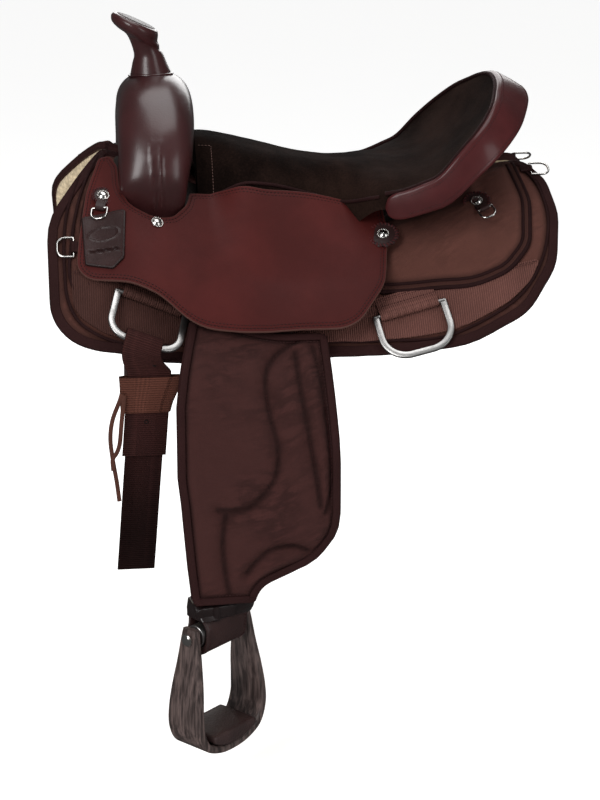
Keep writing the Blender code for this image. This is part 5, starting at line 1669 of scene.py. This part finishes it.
fender = {
    "outline": (
        (-0.0555, 0.262, 0.015), (-0.085, 0.276, 0.010), (-0.0875, 0.345, 0.200), (-0.0840, 0.430, 0.400),
        (-0.0450, 0.560, 0.200), (-0.0360, 0.592, 0.004), (0.0360, 0.592, 0.004), (0.0440, 0.572, 0.030),
        (0.1040, 0.545, 0.060), (0.1260, 0.490, 0.060), (0.1120, 0.400, 0.300), (0.0785, 0.262, 0.010),
    ),
    # quilting seams as (across, s)
    "seams": (
        ((0.042, 0.268), (0.020, 0.288), (0.011, 0.309), (0.012, 0.329), (0.020, 0.357), (0.034, 0.390),
         (0.039, 0.413), (0.038, 0.433), (0.029, 0.452), (0.016, 0.471), (0.0, 0.481), (-0.022, 0.489)),
        ((0.043, 0.284), (0.053, 0.323), (0.072, 0.381), (0.089, 0.432), (0.099, 0.465)),
        ((0.064, 0.277), (0.078, 0.316), (0.096, 0.382), (0.109, 0.440), (0.107, 0.472)),
        ((-0.012, 0.485), (-0.011, 0.522), (-0.002, 0.557), (0.007, 0.583)),
        ((0.024, 0.556), (0.046, 0.524), (0.072, 0.515), (0.092, 0.523)),
    ),
    "cell": 0.0028,
    "groove": (0.0056, 0.0052),
    "belly": 0.0036,
    "binding": 0.0085,
    "bindingLift": 0.0011,
    "bindingGroove": (0.0016, 0.0022),
    "pucker": (0.0014, 0.006),
    # wrinkles in the open cloth: their depth, and the slope that they run along as (cosine, sine)
    "wrinkle": 0.0027,
    "aslant": (0.95, 0.31),
    # (share, stretch, scale, seed) of the finer ones
    "fineWrinkles": ((0.6, 0.35, 62.0, 63.0), (0.25, 0.6, 130.0, 64.0)),
    "stitchInset": 0.0012,
}


def fenderTop(s):
    return leg["fenderUnder"] + leg["fenderSpace"] * smoothStep((s - 0.50) / 0.03) + leg["fender"]


def buildFenders():
    outline = rounded(fender["outline"], 14.0)
    flat = flatPanel(outline, fender["cell"], fender["cell"], (0.0012, 0.0035, 0.0075))
    points, edge, binding = flat["points"], flat["edge"], fender["binding"]
    u, s = points.T
    curves = [curved(seam) for seam in fender["seams"]]
    distance = np.min([distanceTo(points, curve) for curve in curves], axis=0)
    flat["edge"] = np.minimum(np.maximum(edge - binding, 0.0), distance)
    depth, wide = fender["groove"]
    relief = -depth * np.exp(-(distance / wide) ** 1.5)
    relief += fender["belly"] * smoothStep(distance / 0.018) * smoothStep((edge - 0.006) / 0.016)
    # fine puckers across the seams, long slanting wrinkles in the open cloth
    pucker, reach = fender["pucker"]
    relief += pucker * wobble(points, 150.0, 61.0) * np.exp(-((distance - 0.005) / reach) ** 2)
    cosine, sine = fender["aslant"]
    along, across = u * cosine + s * sine, s * cosine - u * sine
    folds = 1 - 2 * np.abs(wobble(np.stack([along * 0.42, across], -1), 30.0, 62.0))
    for share, stretch, scale, seed in fender["fineWrinkles"]:
        folds += share * wobble(np.stack([along * stretch, across], -1), scale, seed)
    calmTop = 0.4 + 0.6 * smoothStep((s - 0.29) / 0.04)
    relief += fender["wrinkle"] * folds * smoothStep((edge - 0.010) / 0.01) * calmTop
    groove, reach = fender["bindingGroove"]
    relief -= groove * np.exp(-((edge - binding) / reach) ** 2)
    relief *= smoothStep(edge / 0.004) * (0.35 + 0.65 * smoothStep((0.600 - s) / 0.05))
    over = fenderTop(s) - 0.0005 - edgeDrop(edge, 0.0028) * 0.6 + relief
    under = fenderTop(s) - leg["fender"] + 0.0001
    face = spaced(inset(outline, binding * 0.5), 0.004, True)
    faceHeight = fenderTop(face[:, 1]) + fender["bindingLift"]
    rim = spaced(inset(outline, 0.0006), 0.004, True)
    row = spaced(inset(outline, binding + fender["stitchInset"]), 0.003, True)
    seams = [spaced(curve, 0.003) for curve in curves]
    tape = bandProfile(binding, -0.0010, 0.0014, 0.0007)
    for label, side in sides.items():
        body = legBody[label]
        pad = addPiece(
            f"fenderPad_{label}", [shellOf(flat, onLeg(side, u, s, over), onLeg(side, u, s, under))],
            "fenderCloth",
            [f"fender_{label}"], body, flip=side < 0,
        )
        normals = legLine(side, face, faceHeight)[1]
        edges = legLine(side, rim, fenderTop(rim[:, 1]) - leg["fender"] / 2)
        bindings = [
            sweep(onLeg(side, *face.T, faceHeight - 0.0006), normals, tape, True),
            sweep(*edges, oval(0.0046, leg["fender"] + 0.0016, 14), True),
        ]
        addPiece(f"fenderBinding_{label}", bindings, "binding", body=body)
        rows = [legLine(side, row, fenderTop(row[:, 1]) - 0.0012)]
        rows += [legLine(side, seam, fenderTop(seam[:, 1]) - depth - 0.0001) for seam in seams]
        sew(f"fenderStitches_{label}", rows, body=body)


buildFenders()
print("fenders built")

# Stirrup leather: one strap, down the outer ply, round the roller and up the inner
strap = {"top": 0.190, "innerTop": 0.455, "turn": 0.05, "bulge": 0.007, "knob": 0.0080, "edge": 0.0011}
strap["mirror"] = leg["boltS"] + strap["turn"] / 2


def leatherAt(side, u, t, depth):
    u, t, depth = np.broadcast_arrays(u, t, depth)
    back = t > strap["mirror"]
    s = np.minimum(np.where(back, 2 * strap["mirror"] - t, t), leg["boltS"])
    height = leg["hang"] * (leg["boltS"] - s) / (leg["boltS"] - leg["jointS"])
    opening = plySpread(height) - plySpread(leg["hang"])
    lift = (leg["ply"] + leg["gap"]) / 2 + (depth - 0.5) * leg["ply"]
    straight = onLeg(side, u, s, leg["middle"] + np.where(back, -lift - 2 * opening, lift))
    angle = math.pi * (t - leg["boltS"]) / strap["turn"]
    centre, wide, out = plyCentre(side, 0.0)
    ray = np.outer(np.cos(angle), out) - np.outer(np.sin(angle), (0, 0, 1))
    reach = leg["bend"] + depth * (leg["ply"] + strap["bulge"] * np.sin(angle) ** 2)
    bend = centre + np.outer(u, wide) + ray * reach[:, None]
    turning = (t > leg["boltS"]) & (t < leg["boltS"] + strap["turn"])
    return np.where(turning[:, None], bend, straight)


def buildLeathers():
    bolt, turn = leg["boltS"], strap["turn"]
    down = np.arange(strap["top"], bolt - 0.001, 0.005)
    back = np.arange(bolt + turn + 0.002, 2 * strap["mirror"] - strap["innerTop"], 0.005)
    marks = np.concatenate([down, bolt + turn * np.linspace(0, 1, 21), back])
    half, r = leg["width"] / 2, strap["edge"]
    across = np.linspace(-half + r, half - r, 9)
    u = np.concatenate([across, [half, half], across[::-1], [-half, -half]])
    depth = np.concatenate([np.ones(9), [0.70, 0.30], np.zeros(9), [0.30, 0.70]])
    turns = circle(24)
    level = np.column_stack([np.cos(turns), np.sin(turns), 0 * turns])
    lifts = np.linspace(-0.48, 0.48, 13) * math.pi
    knob = np.array([level * math.cos(lift) + (0, 0, math.sin(lift)) for lift in lifts]) * strap["knob"]
    row = np.arange(0.50, bolt + turn * 0.5, 0.003)
    for label, side in sides.items():
        rings = [leatherAt(side, u, t, depth) for t in marks]
        hinge = onForm(side, *leg["hinge"], layers["bar"] + layers["gap"] + strap["knob"])
        addPiece(
            f"stirrupLeather_{label}", [loft(rings), loft(hinge + knob)], "strap",
            [f"stirrup_leather_{label}"], legBody[label], sharp=50,
        )
        rows = []
        for edge in (0.005 - half, half - 0.005):
            line = leatherAt(side, edge, row, 1.03)
            rows.append((line, unit(line - leatherAt(side, edge, row, 0.4))))
        sew(f"stirrupLeatherStitches_{label}", rows, body=legBody[label])


hobble = {"top": 0.0350, "foot": 0.0175, "wall": 0.0026, "power": 5.0, "tilt": 0.0030, "space": 0.0009}


def hobbleRing(side, height, grow):
    turns = circle(72)
    centre, across, outward = plyCentre(side, height)
    half = leg["width"] / 2 + 0.0010 + grow
    deep = plySpread(height) + leg["ply"] / 2 + hobble["space"] + grow
    u = squared(np.cos(turns), 9.0) * half
    v = squared(np.sin(turns), hobble["power"]) * deep
    return centre + np.outer(u, across) + np.outer(v, outward) - np.outer(u / half, (0, 0, hobble["tilt"]))


def buildHobbles():
    wall, top, foot = hobble["wall"], hobble["top"], hobble["foot"]
    middle, half = (top + foot) / 2, leg["width"] / 2
    section = (
        (top - 0.0008, wall), (top - 0.0002, wall - 0.0008), (top, wall * 0.5), (top, 0.0), (foot, 0.0),
        (foot, wall * 0.5), (foot + 0.0002, wall - 0.0008), (foot + 0.0008, wall), (middle, wall + 0.0004),
    )
    for label, side in sides.items():
        around = loft([hobbleRing(side, height, grow) for height, grow in section], False, True)
        # the strap's free end lies over the outer face and ends in a tip past the leather's front edge
        centre, across, outward = plyCentre(side, middle)
        deep = plySpread(middle) + leg["ply"] / 2 + hobble["space"] + wall + 0.0005
        run = np.linspace(0.010, -half - 0.0060, 26)
        fall = np.maximum(-run - half + 0.004, 0.0)
        line = centre + np.outer(run, across) + np.outer(deep - fall ** 2 * 40, outward)
        line -= np.outer(run / half, (0, 0, hobble["tilt"]))
        width = np.minimum(1.0, 0.30 + 0.70 * np.sqrt(np.clip((run - run[-1]) / 0.009, 0, 1)))
        tip = sweep(line, outward, bandProfile(0.0150, -0.0004, 0.0019, 0.0008), False, width)
        rise = np.outer(np.linspace(-1, 1, 9), (0, 0, 0.0092))
        line = centre - across * 0.016 + outward * (deep + 0.0026) + rise
        slide = sweep(line, outward, bandProfile(0.0075, -0.0026, 0.0008, 0.0006))
        addPiece(
            f"hobbleStrap_{label}", [around, tip, slide], "hobble",
            [f"hobble_strap_{label}"],
            legBody[label], sharp=40,
        )


stirrup = {
    # (half width, height above the bolt, depth), from a leg's top to the middle of the base
    "profile": (
        (0.0500, 0.0130, 0.022), (0.0520, 0.0000, 0.026), (0.0545, -0.0300, 0.036), (0.0585, -0.0620, 0.047),
        (0.0620, -0.0920, 0.053), (0.0615, -0.1180, 0.055), (0.0500, -0.1420, 0.056),
        (0.0260, -0.1540, 0.056),
        (0.0, -0.1570, 0.056),
    ),
    "thickness": 0.010,
    "corner": 0.0032,
    # the tread pad: (across, up, corner radius), and (share of its half depth, how far it draws in)
    "pad": (
        (-0.038, -0.128, 0.0028), (-0.038, -0.1363, 0.0028), (-0.0215, -0.1444, 0.02), (0.0, -0.1464, 0.02),
        (0.0215, -0.1444, 0.02), (0.038, -0.1363, 0.0028), (0.038, -0.128, 0.0028),
    ),
    "padHalf": 0.030,
    "padRows": ((0.0, -0.0008), (0.5, -0.0006), (0.9, 0.0), (0.95, 0.0002), (0.985, 0.0010), (1.0, 0.0024)),
    # half length, height and two places of the rows of stitches on the tread
    "seams": (0.034, -0.1279, (-0.026, 0.026)),
    "axle": (0.0534, 0.0035),
    # (along, radius) of the bolt's head
    "head": (
        (0.0, 0.0078), (0.0010, 0.0078), (0.0022, 0.0070), (0.0034, 0.0048), (0.0040, 0.0020),
        (0.0041, 0.0003),
    ),
    # half length, radius, bore
    "roller": (0.0395, 0.014, 0.0039),
}


def spun(profile, matrix, count=48, closed=False):
    # a profile of (along, radius) spun round the first axis of the matrix
    turns = circle(count)
    ring = np.column_stack([np.cos(turns), np.sin(turns)])
    rings = [
        placed(matrix, np.column_stack([np.full(count, along), ring * radius])) for along, radius in profile
    ]
    return loft(rings, not closed, closed)


def blockSection(deep):
    # an oblong with round corners, as (inward, across)
    thick, r = stirrup["thickness"], stirrup["corner"]
    far, wide = thick - r, deep / 2 - r
    angles = math.pi / 2 - np.linspace(0, math.pi / 2, 4)
    corners = []
    for quarter, middle in enumerate(((far, wide), (far, -wide), (r, -wide), (r, wide))):
        turns = angles - quarter * math.pi / 2
        corners.append(middle + r * np.column_stack([np.cos(turns), np.sin(turns)]))
    return np.vstack(corners)


def buildStirrups():
    path = list(stirrup["profile"]) + [(-w, z, d) for w, z, d in stirrup["profile"][-2::-1]]
    path = curved(path, 7)
    ahead = np.gradient(path[:, :2], axis=0)
    inward = unit(np.column_stack([-ahead[:, 1], ahead[:, 0]]))
    inward *= np.sign(inward[:, 0] * -path[:, 0] + inward[:, 1] * (-0.07 - path[:, 1]))[:, None]
    pad = spaced(rounded(stirrup["pad"], 20.0), 0.0022, True)
    padRows = [(-share, drawn) for share, drawn in stirrup["padRows"][:0:-1]] + list(stirrup["padRows"])
    reach, height, places = stirrup["seams"]
    (end, shank), head, (roll, radius, bore) = stirrup["axle"], stirrup["head"], stirrup["roller"]
    bolt = [(-end - a, r) for a, r in head[::-1]] + [(-end, shank), (end, shank)]
    bolt += [(end + a, r) for a, r in head]
    tube = [
        (-roll, radius - 0.0006), (0.0006 - roll, radius), (roll - 0.0006, radius), (roll, radius - 0.0006),
    ]
    tube += [(roll, bore), (-roll, bore)]
    for label, side in sides.items():
        place = frameFrom(*plyCentre(side, 0.0), (0, 0, 1))
        body = f"{prefix[label]}_stirrup"
        rings = []
        for (w, z, deep), way in zip(path, inward):
            u, v = blockSection(deep).T
            rings.append(placed(place, np.column_stack([w + way[0] * u, v, z + way[1] * u])))
        addPiece(
            f"stirrupWood_{label}", [loft(rings)], "wood", [f"stirrup_frame_{label}"], body, sharp=45,
        )
        rings = []
        for share, drawn in padRows:
            x, z = inset(pad, drawn).T
            rings.append(placed(place, np.column_stack([x, np.full(len(x), share * stirrup["padHalf"]), z])))
        addPiece(
            f"treadPad_{label}", [loft(rings)], "tread", [f"tread_{label}"], body, sharp=50,
        )
        seams = [placed(place, [(x, y, height) for x in np.linspace(-reach, reach, 30)]) for y in places]
        sew(f"treadStitches_{label}", [(seam, (0, 0, 1)) for seam in seams], body=body)
        addPiece(
            f"stirrupBolt_{label}", [spun(bolt, place)], "silver", [f"bolt_{label}"], body, sharp=30,
        )
        addPiece(
            f"stirrupRoller_{label}", [spun(tube, place, closed=True)], "steel", [f"roller_{label}"],
            legBody[label], sharp=30,
        )


buildLeathers()
buildHobbles()
buildStirrups()
print("stirrups built")

# Straps doubled over the front rings: the latigo on the near side, the off billet on the off side
tie = {
    "turn": 0.0070, "middle": -0.006, "gap": 0.0003, "thickness": 0.004, "half": 0.023, "sag": 0.0012,
    # share of the half width and of the half thickness, round a corner of the strap
    "corner": ((-1, 0.55), (-0.985, 0.9), (-0.95, 1), (-0.4, 1.02)),
    "near": {
        "side": -1, "node": "latigo", "joint": "latigo_swing", "piece": "latigoWebbing",
        "holes": "latigoHoles",
        "finish": "latigo", "slot": "webbing", "body": "near_latigo", "ends": (-0.143, -0.293),
        "slant": 0.090,
        "shift": 0.0105, "flare": 0.0035, "spots": ((0.012, -0.026), (0.0, -0.100), (0.0, -0.125)),
    },
    "off": {
        "side": 1, "node": "off_billet", "joint": "off_strap_swing", "piece": "offBillet",
        "holes": "offBilletHoles",
        "finish": "strap", "slot": "dark_leather", "body": "off_strap", "ends": (-0.215, -0.225),
        "slant": 0.020,
        "shift": 0.010, "flare": 0.0, "spots": [(0.0, -0.075 - 0.03 * k) for k in range(5)],
    },
    "hole": ((-0.0010, 0.0026), (0.0002, 0.0026), (0.0003, 0.0020), (-0.0004, 0.0015), (-0.0006, 0.0002)),
    # (up, half width, shift) of the loop round the latigo
    "loop": (
        (-0.0440, 0.0375, 0.0030), (-0.0545, 0.0350, 0.0020), (-0.0650, 0.0325, 0.0005),
        (-0.0760, 0.0300, -0.0010),
        (-0.0880, 0.0280, -0.0015),
    ),
    "loopWall": 0.0022,
    # soft leather strings tucked behind the loop, as (along, up)
    "strings": (
        (
            (-0.2470, -0.1700), (-0.2499, -0.1788), (-0.2590, -0.2017), (-0.2623, -0.2247),
            (-0.2603, -0.2502),
            (-0.2564, -0.2782), (-0.2538, -0.3037),
        ),
        (
            (-0.2440, -0.1720), (-0.2459, -0.1864), (-0.2486, -0.2081), (-0.2512, -0.2310),
            (-0.2551, -0.2425),
            (-0.2603, -0.2502), (-0.2600, -0.2640),
        ),
    ),
    "stringY": -0.276,
}


def strapAxes(look, up):
    bar = Vector(joints[look["joint"]]["axis"]).normalized()
    if bar.x < 0:
        bar = -bar
    share = min(max((-up - 0.009) / 0.027, 0.0), 1.0)
    wide = (bar * (1 - share) + Vector((1, 0, 0)) * share).normalized()
    rise = (Vector((0, 0, 1)) - wide * wide.z).normalized()
    out = wide.cross(rise)
    return wide, rise, out if out.y * look["side"] > 0 else -out


def strapPoint(look, across, out, up):
    wide, rise, outward = strapAxes(look, up)
    along = look["slant"] * min(up, 0.0) + look["shift"] * min(max(-up / 0.04, 0.0), 1.0)
    pivot = Vector(joints[look["joint"]]["pos_m"])
    return pivot + Vector((along, 0, 0)) + wide * across + outward * out + rise * up


def strapPath(look):
    # as (out, up): up the outer ply, over the ring's bar and down the inner ply
    middle, turn = tie["middle"], tie["turn"] + tie["thickness"] / 2
    outerEnd, innerEnd = look["ends"]
    outer = [outerEnd, (outerEnd - 0.036) / 2, -0.060, -0.036]
    inner = [-0.036, -0.060] + [innerEnd * share for share in (0.35, 0.5, 0.65, 0.8, 0.92, 1.0)]
    path = [(middle + tie["thickness"] + tie["gap"], up) for up in outer] + [(turn * 0.90, -0.012)]
    path += [(turn * math.cos(angle), turn * math.sin(angle)) for angle in np.linspace(0, math.pi, 9)]
    path += [(-turn * 0.97, -0.012)] + [(middle, up) for up in inner]
    return spaced(curved(path, 6), 0.0035)


def buildStrap(look, section):
    path = strapPath(look)
    rings = []
    for (out, up), way in zip(path, unit(np.gradient(path, axis=0)) * tie["thickness"] / 2):
        outerPly = smoothStep((out - tie["middle"] - 0.002) / 0.002) * smoothStep(-up / 0.03)
        width = tie["half"] + look["flare"] * outerPly
        sag = tie["sag"] * math.sin(up * 42.0) * smoothStep((-up - 0.09) / 0.05)
        rings.append([
            strapPoint(look, share * width, out - way[1] * depth + sag, up + way[0] * depth)
            for share, depth in section
        ])
    addPiece(
        look["piece"], [loft(rings)], look["finish"], [look["node"]], look["body"], sharp=50,
    )
    face = tie["middle"] + tie["thickness"] * 1.5 + tie["gap"]
    # near-black discs with painted shade stand in for the punched holes
    holes = []
    for across, up in look["spots"]:
        centre = strapPoint(look, across, face + (0.0004 if up < -0.03 else 0.0034), up)
        wide, rise, outward = strapAxes(look, up)
        holes.append(spun(tie["hole"], frameFrom(centre, outward, wide, rise), 20))
    addPiece(look["holes"], holes, "hole", body=look["body"])


def buildStraps():
    upper = list(tie["corner"]) + [(-share, depth) for share, depth in tie["corner"][::-1]]
    section = upper + [(-share, -depth) for share, depth in upper]
    look = tie["near"]
    buildStrap(look, section)
    buildStrap(tie["off"], section)
    low = tie["middle"] - tie["thickness"] / 2 - 0.0006
    high = tie["middle"] + tie["thickness"] * 1.5 + tie["gap"] + 0.0008
    turns, rows = circle(64), curved(tie["loop"], 4)
    skins = []
    for grow, order in ((tie["loopWall"], rows), (0.0, rows[::-1])):
        for up, width, aside in order:
            across = squared(np.cos(turns), 7.0) * (width + grow) + aside
            out = (low + high) / 2 + squared(np.sin(turns), 3.5) * ((high - low) / 2 + grow)
            skins.append([strapPoint(look, u, v, up) for u, v in zip(across, out)])
    addPiece(
        "latigoLoop", [loft(skins, False, True)], "loop", ["latigo_loop"], look["body"], sharp=50,
    )
    strings = []
    for string in tie["strings"]:
        line = [(x, tie["stringY"] - 0.0015 * k, z) for k, (x, z) in enumerate(string)]
        profile = bandProfile(0.0052, -0.0008, 0.0008, 0.0004)
        strings.append(sweep(spaced(curved(line), 0.002), (0.15, -1.0, 0.0), profile))
    addPiece("latigoTie", strings, "tan", body=look["body"])


buildStraps()
print("straps built")

# CAD pieces whose shape is right keep it and get a finish
keptFinishes = {
    "tree": ("tree_fork", "tree_bar_left", "tree_bar_right", "ground_seat", "horn_post"),
    "steel": ("buckle_left", "buckle_right"),
}


def finishNodes():
    for finish, names in keptFinishes.items():
        for name in names:
            for slot in nodes[name].material_slots:
                slot.link = "OBJECT"
                slot.material = finishes[finish]


finishNodes()
print("CAD pieces finished")
